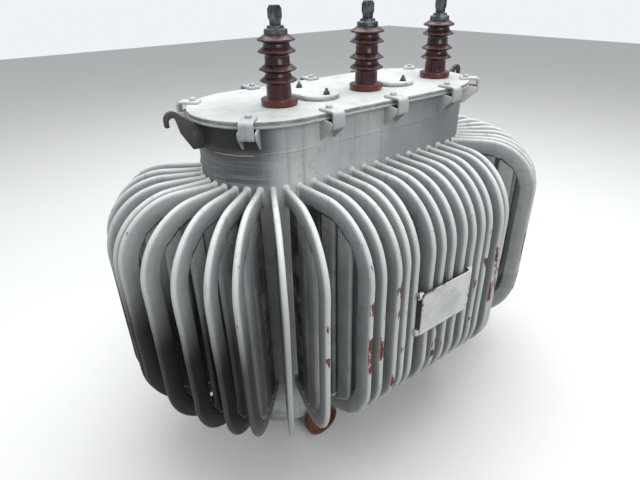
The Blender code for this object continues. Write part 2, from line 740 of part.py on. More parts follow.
def base_beam(name, x, parent):
    """Make one cross beam: a channel open below, with an axle plate, a stub axle and its washer at each end."""
    bm = bmesh.new()
    half = BEAM_WIDTH / 2
    inner = half - BEAM_PLATE
    channel = [
        (x - half, BEAM_CLEARANCE), (x - inner, BEAM_CLEARANCE), (x - inner, BEAM_TOP - BEAM_PLATE),
        (x + inner, BEAM_TOP - BEAM_PLATE), (x + inner, BEAM_CLEARANCE), (x + half, BEAM_CLEARANCE),
        (x + half, BEAM_TOP), (x - half, BEAM_TOP),
    ]
    lengthwise = Matrix.Rotation(math.radians(90), 4, "X")
    reach = AXLE_PLATE_INNER + AXLE_PLATE_THICKNESS / 4
    prism(bm, [channel], -reach, reach, lengthwise)
    beam = add_object(name, bm, "grey_paint", parent)

    plates = bmesh.new()
    axles = bmesh.new()
    low, high = BEAM_CLEARANCE - AXLE_PLATE_MARGIN, BEAM_CLEARANCE + AXLE_PLATE_HEIGHT
    half += AXLE_PLATE_MARGIN
    corner = AXLE_PLATE_CORNER
    plate = [
        (x - half, low), (x + half, low), (x + half, high - corner), (x + half - corner, high),
        (x - half + corner, high), (x - half, high - corner),
    ]
    washer_near = WHEEL_OUTER + WASHER_PLAY
    washer_far = washer_near + WASHER_THICKNESS
    axle = AXLE_DIAMETER / 2
    stub = [
        (0, AXLE_PLATE_INNER + AXLE_PLATE_THICKNESS / 2), (axle, AXLE_PLATE_INNER + AXLE_PLATE_THICKNESS / 2),
        (axle, washer_near), (WASHER_DIAMETER / 2, washer_near), (WASHER_DIAMETER / 2, washer_far),
        (axle, washer_far), (axle, washer_far + AXLE_STUB), (0, washer_far + AXLE_STUB),
    ]
    for side in (-1, 1):
        near, far = sorted((-side * AXLE_PLATE_INNER, -side * AXLE_PLATE_OUTER))
        prism(plates, [plate], near, far, lengthwise)
        turned(axles, stub, AXLE_SIDES, axle_frame(x, side))
    combine(beam, as_helper(add_object(name + "_plates", plates, "grey_paint", parent)), "UNION")
    combine(beam, as_helper(add_object(name + "_axles", axles, "grey_paint", parent)), "UNION")
    return beam


def axle_frame(x, side):
    """Return the frame of a stub axle, with local Z pointing outward along it from the tank's centre line."""
    return Matrix.Translation((x, 0, AXLE_HEIGHT)) @ Matrix.Rotation(math.radians(-90) * side, 4, "X")


def wheel_profile():
    """Return a wheel's section round its axle: bore, flat back, tread, and a face recessed inside its rim."""
    bore = AXLE_DIAMETER / 2 + PIN_PLAY
    tread = WHEEL_DIAMETER / 2
    hub = WHEEL_HUB_DIAMETER / 2
    face = WHEEL_WIDTH - WHEEL_RECESS
    return [
        (bore, 0), (tread, 0), (tread, WHEEL_WIDTH), (tread - WHEEL_RIM, WHEEL_WIDTH),
        (tread - WHEEL_RIM, face), (hub, face), (hub, WHEEL_WIDTH), (bore, WHEEL_WIDTH),
    ]


def wheels(parent):
    """Make the four roller wheels, each with its origin on its own axle."""
    for side_name, side in (("front", -1), ("rear", 1)):
        for end_name, end in (("left", -1), ("right", 1)):
            bm = bmesh.new()
            turned(bm, wheel_profile(), WHEEL_SIDES, Matrix.Translation((0, 0, WHEEL_INNER)))
            wheel = add_object(f"wheel_{side_name}_{end_name}", bm, "rusty_iron", parent)
            wheel.matrix_local = axle_frame(end * WHEEL_SPACING / 2, side)


def nameplate(parent):
    """Make the blank plate on the front fins: a folded tray against the tubes, and a bordered plate on it."""
    hang = Matrix.Translation((NAMEPLATE_CENTRE_X, -(TANK_RADIUS + FIN_REACH), NAMEPLATE_CENTRE_Z))
    hang = hang @ Matrix.Rotation(-NAMEPLATE_TILT, 4, "Y")

    def ring(margin, depth):
        """Return the plate's outline, drawn in by this margin and standing this far off the tubes."""
        u = NAMEPLATE_WIDTH / 2 - margin
        v = NAMEPLATE_HEIGHT / 2 - margin
        return [hang @ Vector(corner) for corner in ((-u, -depth, -v), (u, -depth, -v), (u, -depth, v), (-u, -depth, v))]

    floor = SEAT + TRAY_DEPTH - TRAY_THICKNESS
    bm = bmesh.new()
    loft(bm, [ring(TRAY_THICKNESS, floor), ring(TRAY_THICKNESS, SEAT), ring(0, SEAT), ring(0, SEAT + TRAY_DEPTH)])
    add_object("nameplate_tray", bm, "grey_paint", parent)

    back = TRAY_DEPTH + 2 * SEAT
    front = back + NAMEPLATE_THICKNESS
    inner = NAMEPLATE_MARGIN + NAMEPLATE_BORDER
    bm = bmesh.new()
    loft(bm, [
        ring(NAMEPLATE_MARGIN, back),
        ring(NAMEPLATE_MARGIN, front),
        ring(inner, front),
        ring(inner, front - NAMEPLATE_BORDER_DEPTH),
    ])
    add_object("nameplate", bm, "plate_enamel", parent)


def main():
    """Build the whole transformer under one empty, which sets the tank's axis in the part's frame."""
    clear_scene()
    transformer = bpy.data.objects.new("transformer", None)
    bpy.context.scene.collection.objects.link(transformer)
    transformer.location = (0, TANK_AXIS_Y, 0)
    side_wall("front_wall", -1, transformer)
    side_wall("rear_wall", 1, transformer)
    end_wall("left_end_wall", -1, transformer)
    end_wall("right_end_wall", 1, transformer)
    tank_bottom(transformer)
    tank_rim(transformer)
    lid_gasket(transformer)
    lid(transformer)
    lid_clamps(transformer)
    bushings(transformer)
    inspection_covers(transformer)
    lifting_hooks(transformer)
    base_beam("base_beam_left", -WHEEL_SPACING / 2, transformer)
    base_beam("base_beam_right", WHEEL_SPACING / 2, transformer)
    wheels(transformer)
    nameplate(transformer)


main()
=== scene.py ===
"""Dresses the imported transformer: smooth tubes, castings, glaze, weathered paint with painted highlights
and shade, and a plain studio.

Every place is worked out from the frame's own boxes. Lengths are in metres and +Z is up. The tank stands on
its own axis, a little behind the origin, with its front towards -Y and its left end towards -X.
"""

from __future__ import annotations

import logging
import math
import random
from dataclasses import dataclass, field
from enum import Enum
from typing import Iterable, Sequence

import bmesh
import bpy
from bmesh.types import BMEdge, BMesh, BMVert
from mathutils import Matrix, Vector, noise

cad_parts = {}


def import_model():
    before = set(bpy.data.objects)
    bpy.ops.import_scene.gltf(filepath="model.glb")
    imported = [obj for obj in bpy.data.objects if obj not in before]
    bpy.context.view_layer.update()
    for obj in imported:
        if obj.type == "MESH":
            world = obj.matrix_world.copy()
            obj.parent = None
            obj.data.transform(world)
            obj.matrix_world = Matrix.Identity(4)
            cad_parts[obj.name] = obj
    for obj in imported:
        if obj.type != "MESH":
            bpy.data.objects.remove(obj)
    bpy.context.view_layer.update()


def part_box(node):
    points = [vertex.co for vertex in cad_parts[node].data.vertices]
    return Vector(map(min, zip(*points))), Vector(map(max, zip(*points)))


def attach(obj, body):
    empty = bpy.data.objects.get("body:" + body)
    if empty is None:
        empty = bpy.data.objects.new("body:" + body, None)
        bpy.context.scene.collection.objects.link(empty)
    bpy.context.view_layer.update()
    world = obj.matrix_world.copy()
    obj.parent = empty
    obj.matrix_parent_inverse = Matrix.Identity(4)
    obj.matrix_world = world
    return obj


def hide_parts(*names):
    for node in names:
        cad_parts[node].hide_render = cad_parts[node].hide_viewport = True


LOG = logging.getLogger("transformer")
SEED = 20

# The gap under a seated piece, how far a welded one enters the tank, and how close merged points lie
SEAT = 0.0003
WELD_BITE = 0.001
MERGE = 1e-6
QUARTER = math.radians(90)

Colour = tuple[float, float, float]
Point = tuple[float, float]


class Body(Enum):
    """The rigid bodies that pieces ride on."""

    TRANSFORMER = "transformer"
    FRONT_LEFT_WHEEL = "front_left_wheel"
    FRONT_RIGHT_WHEEL = "front_right_wheel"
    REAR_LEFT_WHEEL = "rear_left_wheel"
    REAR_RIGHT_WHEEL = "rear_right_wheel"


class Slot(Enum):
    """The material slots of the record."""

    GREY_PAINT = "grey_paint"
    LID_PAINT = "lid_paint"
    PORCELAIN = "porcelain"
    TERMINAL_METAL = "terminal_metal"
    BLACK_RUBBER = "black_rubber"
    RUSTY_IRON = "rusty_iron"
    PLATE_ENAMEL = "plate_enamel"


class Mask(Enum):
    """The numbers that a mesh carries for its finish, each from 0 to 1."""

    CREST = "crest"
    TONE = "tone"
    BARE = "bare"
    # How much painted shade falls there: between tubes, on their inner edges and under joints.
    SOIL = "soil"
    CHIP = "chip"


class Signal:
    """A value in a node tree, on which Python's operators add Math nodes."""

    def __init__(self, graph: Graph, socket: bpy.types.NodeSocket) -> None:
        """Wrap a socket of the graph.

        Args:
            graph: The graph that the socket belongs to.
            socket: The output that carries the value.
        """
        self.graph = graph
        self.socket = socket

    def _math(self, operation: str, first: Value, second: Value) -> Signal:
        """Add one Math node and return its result."""
        return self.graph.node("ShaderNodeMath", {"operation": operation}, {0: first, 1: second})

    def __add__(self, other: Value) -> Signal:
        """Return the sum."""
        return self._math("ADD", self, other)

    __radd__ = __add__

    def __sub__(self, other: Value) -> Signal:
        """Return the difference."""
        return self._math("SUBTRACT", self, other)

    def __rsub__(self, other: Value) -> Signal:
        """Return the difference from a number."""
        return self._math("SUBTRACT", other, self)

    def __mul__(self, other: Value) -> Signal:
        """Return the product."""
        return self._math("MULTIPLY", self, other)

    __rmul__ = __mul__

    def largest(self, other: Value) -> Signal:
        """Return the larger of two values."""
        return self._math("MAXIMUM", self, other)

    def between(self, low: float, high: float) -> Signal:
        """Return a smooth step from 0 at low to 1 at high. With high below low it falls instead."""
        settings = {"interpolation_type": "SMOOTHSTEP"}
        if high > low:
            return self.graph.node("ShaderNodeMapRange", settings, {0: self, 1: low, 2: high, 3: 0.0, 4: 1.0})
        return self.graph.node("ShaderNodeMapRange", settings, {0: self, 1: high, 2: low, 3: 1.0, 4: 0.0})


Value = Signal | float | Sequence[float]


class Graph:
    """One material's node tree and the shader that it ends in."""

    def __init__(self, name: str) -> None:
        """Start a material with one Principled shader.

        Args:
            name: The material's name.
        """
        self.material = bpy.data.materials.new(name)
        self.material.use_nodes = True
        self.tree = self.material.node_tree
        self.shader = self.tree.nodes["Principled BSDF"]

    def node(self, kind: str, settings: dict, inputs: dict, output: int | str = 0) -> Signal:
        """Add one node of any kind.

        Args:
            kind: The node's type.
            settings: Properties that are set before the inputs.
            inputs: Values or signals by input index or name.
            output: The index or name of the output to return.

        Returns:
            The chosen output.
        """
        made = self.tree.nodes.new(kind)
        for key, value in settings.items():
            setattr(made, key, value)
        for key, value in inputs.items():
            self.feed(made.inputs[key], value)
        return Signal(self, made.outputs[output])

    def feed(self, socket: bpy.types.NodeSocket, value: Value) -> None:
        """Link a signal to a socket, or set the socket's own value."""
        if isinstance(value, Signal):
            self.tree.links.new(value.socket, socket)
        elif isinstance(value, (tuple, list)) and len(value) == 3 and socket.type == "RGBA":
            socket.default_value = (*value, 1.0)
        else:
            socket.default_value = value

    def place(self, stretch: Sequence[float] = (1.0, 1.0, 1.0)) -> Signal:
        """Return the point on the object, scaled along each axis."""
        point = self.node("ShaderNodeTexCoord", {}, {}, "Object")
        return self.node("ShaderNodeVectorMath", {"operation": "MULTIPLY"}, {0: point, 1: tuple(stretch)})

    def axis(self, name: str) -> Signal:
        """Return one coordinate of the point on the object."""
        return self.node("ShaderNodeSeparateXYZ", {}, {0: self.place()}, name)

    def upward(self) -> Signal:
        """Return how far the surface faces up, from -1 to 1."""
        normal = self.node("ShaderNodeNewGeometry", {}, {}, "Normal")
        return self.node("ShaderNodeSeparateXYZ", {}, {0: normal}, "Z")

    def mask(self, mask: Mask) -> Signal:
        """Return one of the numbers that the mesh carries."""
        return self.node("ShaderNodeAttribute", {"attribute_name": mask.value}, {}, "Fac")

    def grain(
        self,
        scale: float,
        detail: float = 3.0,
        roughness: float = 0.55,
        stretch: Sequence[float] = (1.0, 1.0, 1.0),
    ) -> Signal:
        """Return fractal noise on the object, mostly from 0.3 to 0.7.

        Args:
            scale: How fine the noise is.
            detail: How many octaves it has.
            roughness: How strong the fine octaves are.
            stretch: How much finer it is along each axis.

        Returns:
            The noise.
        """
        inputs = {"Vector": self.place(stretch), "Scale": scale, "Detail": detail, "Roughness": roughness}
        return self.node("ShaderNodeTexNoise", {}, inputs, "Fac")

    def cells(self, scale: float) -> Signal:
        """Return the distance to the nearest of a field of scattered points."""
        return self.node("ShaderNodeTexVoronoi", {}, {"Vector": self.place(), "Scale": scale}, "Distance")

    def blend(self, share: Value, first: Value, second: Value) -> Signal:
        """Return a colour between two others."""
        return self.node("ShaderNodeMix", {"data_type": "RGBA"}, {0: share, 6: first, 7: second}, 2)

    def bump(self, height: Signal, distance: float, strength: float = 1.0) -> Signal:
        """Return a normal that is tilted by the height."""
        inputs = {"Height": height, "Distance": distance, "Strength": strength}
        return self.node("ShaderNodeBump", {}, inputs, "Normal")

    def finish(
        self, colour: Value, roughness: Value, normal: Signal | None = None, **plain: float
    ) -> bpy.types.Material:
        """Feed the shader and return the material.

        Args:
            colour: The base colour.
            roughness: The roughness.
            normal: The bumped normal, if any.
            **plain: Other shader inputs that are the same all over, with underscores for spaces.

        Returns:
            The finished material.
        """
        self.feed(self.shader.inputs["Base Color"], colour)
        self.feed(self.shader.inputs["Roughness"], roughness)
        if normal:
            self.feed(self.shader.inputs["Normal"], normal)
        for key, value in plain.items():
            self.shader.inputs[key.replace("_", " ")].default_value = value
        return self.material


@dataclass(frozen=True)
class NeckRubAndShade:
    """The dark neck of the left end, where a wire brush took the paint level, darkened further by painted
    shade, with a painted shadow under the rim.
    """

    worn_and_shaded: Colour = (0.070, 0.074, 0.080)
    rim_shadow: Colour = (0.030, 0.032, 0.036)
    scored: Colour = (0.42, 0.43, 0.44)
    shaded: Colour = (0.13, 0.137, 0.143)
    bare: Colour = (0.50, 0.51, 0.52)

    def over(self, g: Graph, colour: Signal) -> Signal:
        """Darken the neck with wear and painted shade, paint a shadow under the rim, score the paint below
        it, shade its far side and scratch a line round it.

        Args:
            g: The paint's graph.
            colour: The colour so far.

        Returns:
            The new colour.
        """
        height = g.axis("Z")
        along = g.axis("X")
        end = along.between(-0.37, -0.46) * height.between(1.02, 1.07)
        patches = g.grain(5.0, 3.0).between(0.20, 0.50) * 0.35 + 0.50
        # Wear and painted shade darken the left end of the neck.
        colour = g.blend(end * patches, colour, self.worn_and_shaded)
        # Painted shadow just under the rim.
        colour = g.blend(end * height.between(1.135, 1.185) * 0.85, colour, self.rim_shadow)
        lines = g.grain(1.0, 5.0, 0.7, (5.0, 5.0, 150.0)).between(0.50, 0.66)
        colour = g.blend(end * height.between(1.190, 1.150) * lines * 0.50, colour, self.scored)
        far = height.between(1.00, 1.05) * along.between(-0.20, 0.40) * g.grain(3.0, 3.0).between(0.15, 0.50)
        colour = g.blend(far * 0.75, colour, self.shaded)
        scratch = height.between(1.1575, 1.1605) * height.between(1.1645, 1.1615)
        reach = along.between(-0.36, -0.44) * g.grain(14.0, 2.0).between(0.36, 0.52)
        return g.blend(scratch * reach * 0.8, colour, self.bare)


@dataclass(frozen=True)
class WeatheredPaint:
    """Old sprayed enamel on steel, with rain streaks, dirt, pinholes and primer where it is knocked, and with
    painted highlights and painted shade.
    """

    name: str
    fresh: Colour = (0.58, 0.60, 0.605)
    dull: Colour = (0.44, 0.46, 0.47)
    # Pale colour of the painted highlight on crests, also used for dust and painted light on what faces up.
    bright: Colour = (0.76, 0.78, 0.77)
    # Dark colour for dirt and for painted shade.
    grime_and_shade: Colour = (0.034, 0.036, 0.037)
    # Near-black colour of the painted shade low on the left end.
    deep_shade: Colour = (0.012, 0.013, 0.015)
    flank_shade: Colour = (0.23, 0.24, 0.25)
    stained: Colour = (0.27, 0.255, 0.225)
    weld: Colour = (0.66, 0.68, 0.67)
    primer: Colour = (0.30, 0.075, 0.060)
    rust: Colour = (0.115, 0.046, 0.022)
    roughness: float = 0.44
    sheen: float = 0.25
    streaks: float = 0.30
    chips: float = 1.0
    foot: float = 0.55
    shaded_low_left: bool = False
    neck_rub_and_shade: NeckRubAndShade | None = None

    def make(self) -> bpy.types.Material:
        """Build the material."""
        g = Graph(self.name)
        crest = g.mask(Mask.CREST)
        fine = g.grain(150.0, 2.0)
        low = g.axis("Z").between(self.foot, 0.05) * g.grain(9.0, 5.0, 0.65).between(0.30, 0.70)
        colour = self.dirt(g, self.coat(g, crest), low)
        if self.neck_rub_and_shade:
            colour = self.neck_rub_and_shade.over(g, colour)
        pit = g.cells(52.0).between(0.085, 0.045) * g.grain(11.0, 2.0).between(0.52, 0.62)
        colour = g.blend(pit * 0.75, colour, self.grime_and_shade)
        bead = g.mask(Mask.BARE) * g.grain(60.0, 2.0).between(0.30, 0.62)
        colour = g.blend(bead * 0.75, colour, self.weld)
        knock = g.grain(1.0, 4.0, 0.66, (95.0, 95.0, 17.0)) + g.mask(Mask.CHIP) * 0.22
        chip = crest.between(0.86, 0.95) * knock.between(0.67, 0.70) * self.chips
        colour = g.blend(chip, colour, g.blend(fine.between(0.35, 0.65), self.primer, self.rust))
        spot = g.cells(17.0).between(0.075, 0.04) * g.grain(5.0, 2.0).between(0.56, 0.64)
        colour = g.blend(spot * 0.85 * self.chips, colour, self.rust)
        rough = chip * 0.25 + low * 0.12 + fine * 0.10 + (self.roughness - 0.05)
        relief = fine * 0.10 + g.grain(28.0, 3.0) * 0.5 - chip * 0.8 - pit * 0.5
        return g.finish(colour, rough, g.bump(relief, 0.0012, 0.6), Specular_IOR_Level=self.sheen)

    def coat(self, g: Graph, crest: Signal) -> Signal:
        """Spray the coat, faded in patches and duller on some tubes, with a painted highlight on crests and
        painted shade beside them.

        Args:
            g: The graph.
            crest: The crest mask.

        Returns:
            The coat's colour.
        """
        patches = g.grain(4.5, 4.0, 0.6).between(0.36, 0.64)
        colour = g.blend(patches, self.fresh, self.dull)
        colour = g.blend(g.mask(Mask.TONE) * 0.55, colour, self.dull)
        stain = g.grain(24.0, 5.0, 0.68).between(0.53, 0.68) * g.grain(3.5, 2.0).between(0.42, 0.60)
        colour = g.blend(stain * 0.42, colour, self.stained)
        # Painted shade on the tube faces beside the crests.
        side = crest.between(0.04, 0.40) * crest.between(0.97, 0.72)
        colour = g.blend(side * 0.26, colour, self.flank_shade)
        # Painted highlight along the crests.
        return g.blend(crest.between(0.76, 0.96) * 0.65, colour, self.bright)

    def dirt(self, g: Graph, colour: Signal, low: Signal) -> Signal:
        """Add rain streaks, darkening towards the ground, painted shade between tubes and low on the left
        end, and dust with painted light from above on what faces up.

        Args:
            g: The graph.
            colour: The colour so far.
            low: How close to the ground it is.

        Returns:
            The new colour.
        """
        run = g.grain(1.0, 3.0, 0.6, (34.0, 34.0, 1.6))
        colour = g.blend(run.between(0.54, 0.78) * self.streaks, colour, self.grime_and_shade)
        colour = g.blend(low * 0.42, colour, self.grime_and_shade)
        # Painted shade low on the left end, where the fins stand out of the light.
        if self.shaded_low_left:
            low_left_shade = g.axis("X").between(-0.50, -0.70) * g.axis("Z").between(0.90, 0.62)
            patches = g.grain(7.0, 4.0, 0.6).between(0.0, 0.36)
            colour = g.blend(low_left_shade * patches * 0.96, colour, self.deep_shade)
        # Painted shade between tubes, on their inner edges and under the header joints.
        soil = g.mask(Mask.SOIL) * (g.grain(13.0, 4.0, 0.65).between(0.30, 0.62) * 0.5 + 0.5)
        colour = g.blend(soil * 0.95, colour, self.grime_and_shade)
        # Dust and painted light from above make what faces up paler.
        dust = g.upward().between(0.35, 1.0) * g.grain(16.0, 5.0, 0.6).between(0.35, 0.75)
        return g.blend(dust * 0.45, colour, self.bright)


@dataclass(frozen=True)
class LidPaint:
    """Off-white paint on the lid, greyed by dirt that washes to the edges."""

    name: str = "lid_white"
    clean: Colour = (0.62, 0.63, 0.62)
    grey: Colour = (0.46, 0.47, 0.46)
    dirt: Colour = (0.12, 0.11, 0.09)

    def make(self) -> bpy.types.Material:
        """Build the material."""
        g = Graph(self.name)
        broad = g.grain(3.2, 5.0, 0.62)
        colour = g.blend(broad.between(0.42, 0.68), self.clean, self.grey)
        wash = g.grain(19.0, 6.0, 0.7).between(0.52, 0.74)
        colour = g.blend(wash * 0.40, colour, self.dirt)
        speck = g.cells(85.0).between(0.10, 0.05) * g.grain(13.0, 2.0).between(0.50, 0.60)
        colour = g.blend(speck * 0.7, colour, self.dirt)
        side = g.upward().between(0.5, 0.1) * g.grain(1.0, 4.0, 0.6, (26.0, 26.0, 60.0)).between(0.40, 0.66)
        colour = g.blend(side * 0.55, colour, self.dirt)
        fine = g.grain(120.0, 2.0)
        return g.finish(colour, fine * 0.12 + 0.46, g.bump(fine * 0.3 + broad, 0.0015, 0.5))


@dataclass(frozen=True)
class Glaze:
    """Thick brown-red glaze, darker where it pools and paler with dust on what faces up."""

    name: str
    deep: Colour = (0.020, 0.005, 0.006)
    thin: Colour = (0.054, 0.010, 0.010)
    dust: Colour = (0.22, 0.14, 0.13)
    dusty: float = 0.22

    def make(self) -> bpy.types.Material:
        """Build the material."""
        g = Graph(self.name)
        pool = g.grain(22.0, 3.0)
        colour = g.blend(pool.between(0.35, 0.68), self.deep, self.thin)
        settled = g.upward().between(0.25, 0.95) * g.grain(40.0, 4.0, 0.65).between(0.30, 0.72)
        colour = g.blend(settled * self.dusty, colour, self.dust)
        fine = g.grain(240.0, 1.0)
        rough = settled * 0.35 + fine * 0.06 + 0.20
        return g.finish(colour, rough, g.bump(pool, 0.0008, 0.35), Coat_Weight=0.15, Coat_Roughness=0.08)


@dataclass(frozen=True)
class CastMetal:
    """Dull cast metal with a blue-grey bloom."""

    name: str
    dark: Colour = (0.045, 0.052, 0.064)
    pale: Colour = (0.16, 0.18, 0.20)
    metallic: float = 0.75
    roughness: float = 0.42

    def make(self) -> bpy.types.Material:
        """Build the material."""
        g = Graph(self.name)
        bloom = g.grain(38.0, 5.0, 0.65)
        colour = g.blend(bloom.between(0.38, 0.66), self.dark, self.pale)
        rough = bloom * 0.3 + (self.roughness - 0.1)
        return g.finish(colour, rough, g.bump(g.grain(180.0, 3.0), 0.0010, 0.5), Metallic=self.metallic)


@dataclass(frozen=True)
class RollerRust:
    """Bare cast iron that has rusted all over, with a worn tread."""

    name: str = "roller_rust"
    dark: Colour = (0.060, 0.024, 0.013)
    bright: Colour = (0.23, 0.085, 0.035)
    scale: Colour = (0.30, 0.23, 0.18)

    def make(self) -> bpy.types.Material:
        """Build the material."""
        g = Graph(self.name)
        broad = g.grain(26.0, 5.0, 0.7)
        colour = g.blend(broad.between(0.34, 0.66), self.dark, self.bright)
        flake = g.grain(95.0, 4.0, 0.7).between(0.55, 0.72)
        colour = g.blend(flake * 0.6, colour, self.scale)
        relief = broad + g.grain(160.0, 4.0, 0.7) * 0.6
        return g.finish(colour, flake * 0.1 + 0.78, g.bump(relief, 0.0022, 0.8), Metallic=0.1)


@dataclass(frozen=True)
class SealRubber:
    """Matt gasket rubber, greyed by paint at its edge."""

    name: str = "seal_rubber"
    black: Colour = (0.30, 0.305, 0.30)
    grey: Colour = (0.46, 0.465, 0.46)

    def make(self) -> bpy.types.Material:
        """Build the material."""
        g = Graph(self.name)
        smear = g.grain(30.0, 4.0, 0.6)
        colour = g.blend(smear.between(0.45, 0.70), self.black, self.grey)
        return g.finish(colour, smear * 0.2 + 0.72, g.bump(g.grain(200.0, 2.0), 0.0006, 0.5))


@dataclass(frozen=True)
class PlateEnamel:
    """Pale enamel on a sheet plate, stained brown where its edges rust."""

    name: str = "plate_enamel_worn"
    pale: Colour = (0.74, 0.75, 0.75)
    grey: Colour = (0.56, 0.57, 0.575)
    rust: Colour = (0.17, 0.062, 0.026)

    def make(self) -> bpy.types.Material:
        """Build the material."""
        g = Graph(self.name)
        broad = g.grain(12.0, 5.0, 0.6)
        colour = g.blend(broad.between(0.38, 0.66), self.pale, self.grey)
        scuff = g.grain(1.0, 4.0, 0.7, (160.0, 160.0, 22.0)).between(0.62, 0.72)
        colour = g.blend(scuff * 0.4, colour, self.grey)
        edge = (g.mask(Mask.CREST) * 0.3 + g.grain(34.0, 4.0, 0.7)).between(0.70, 0.80)
        colour = g.blend(edge, colour, self.rust)
        rough = edge * 0.4 + broad * 0.15 + 0.28
        return g.finish(colour, rough, g.bump(g.grain(60.0, 3.0) - edge * 0.6, 0.0008, 0.4))


@dataclass(frozen=True)
class StudioFloor:
    """The pale floor and backdrop."""

    name: str = "studio_floor"
    pale: Colour = (0.86, 0.86, 0.85)
    bounce: Colour = (0.20, 0.20, 0.195)

    def make(self) -> bpy.types.Material:
        """Build the material, which is pale to look at and throws little light back."""
        g = Graph(self.name)
        seen = g.node("ShaderNodeLightPath", {}, {}, "Is Camera Ray")
        seen = seen.largest(g.node("ShaderNodeLightPath", {}, {}, "Is Glossy Ray"))
        seen = seen.largest(g.node("ShaderNodeLightPath", {}, {}, "Is Transmission Ray"))
        return g.finish(g.blend(seen, self.bounce, self.pale), 0.9)


class Finishes:
    """Every material, made once."""

    def __init__(self) -> None:
        """Make the materials."""
        self.tubes = WeatheredPaint("tube_grey", shaded_low_left=True).make()
        self.shell = WeatheredPaint("tank_grey", streaks=0.42, chips=0.5, neck_rub_and_shade=NeckRubAndShade(), foot=0.40).make()
        self.fittings = WeatheredPaint("fitting_grey", fresh=(0.56, 0.57, 0.56), chips=0.6, foot=0.10).make()
        # The hook's near-black coat is painted shade, and its pale colour on what faces up is painted light
        # on the top edge.
        self.hook = WeatheredPaint(
            "hook_painted_shade",
            fresh=(0.085, 0.078, 0.075),
            dull=(0.045, 0.042, 0.042),
            bright=(0.42, 0.43, 0.43),
            foot=0.10,
        ).make()
        self.base = WeatheredPaint(
            "base_grey", fresh=(0.30, 0.30, 0.29), dull=(0.20, 0.19, 0.18), foot=0.20
        ).make()
        self.lid = LidPaint().make()
        self.glaze = Glaze("bushing_glaze").make()
        self.foot_glaze = Glaze(
            "bushing_foot_glaze", deep=(0.065, 0.011, 0.010), thin=(0.11, 0.020, 0.015), dusty=0.25
        ).make()
        self.cap = CastMetal("cap_metal").make()
        self.bolt = CastMetal(
            "bolt_metal", dark=(0.05, 0.05, 0.05), pale=(0.20, 0.19, 0.17), metallic=0.5
        ).make()
        self.roller = RollerRust().make()
        self.rubber = SealRubber().make()
        self.plate = PlateEnamel().make()
        # Near-black backing: painted shade for the dark gap behind the nameplate.
        self.tray = CastMetal(
            "backing_painted_shade", dark=(0.018, 0.020, 0.020), pale=(0.06, 0.06, 0.055), metallic=0.0
        ).make()
        self.floor = StudioFloor().make()


@dataclass
class Layout:
    """Where the tank stands, read from the frame's boxes."""

    axis_y: float = 0.0
    radius: float = 0.0
    half_straight: float = 0.0
    lid_top: float = 0.0
    lid_low: float = 0.0
    rim_radius: float = 0.0
    rim_low: float = 0.0
    wall_foot: float = 0.0
    reach: float = 0.0
    bottom_ledge: float = 0.002

    @classmethod
    def read(cls) -> Layout:
        """Measure the frame.

        Returns:
            The layout.
        """
        made = cls()
        low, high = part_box("lid")
        made.axis_y = (low.y + high.y) / 2
        made.lid_low, made.lid_top = low.z, high.z
        made.rim_radius = (high.y - low.y) / 2
        made.half_straight = (high.x - low.x) / 2 - made.rim_radius
        low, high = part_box("tank_bottom")
        made.radius = (high.y - low.y) / 2 - made.bottom_ledge
        low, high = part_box("front_wall")
        made.wall_foot, made.rim_low = low.z, high.z
        made.reach = made.axis_y - low.y
        return made

    def outward(self, x: float, angle: float) -> Matrix:
        """Return a frame on the tank's axis at x, with local X pointing outward at this angle from +X."""
        return Matrix.Translation((x, self.axis_y, 0)) @ Matrix.Rotation(angle, 4, "Z")


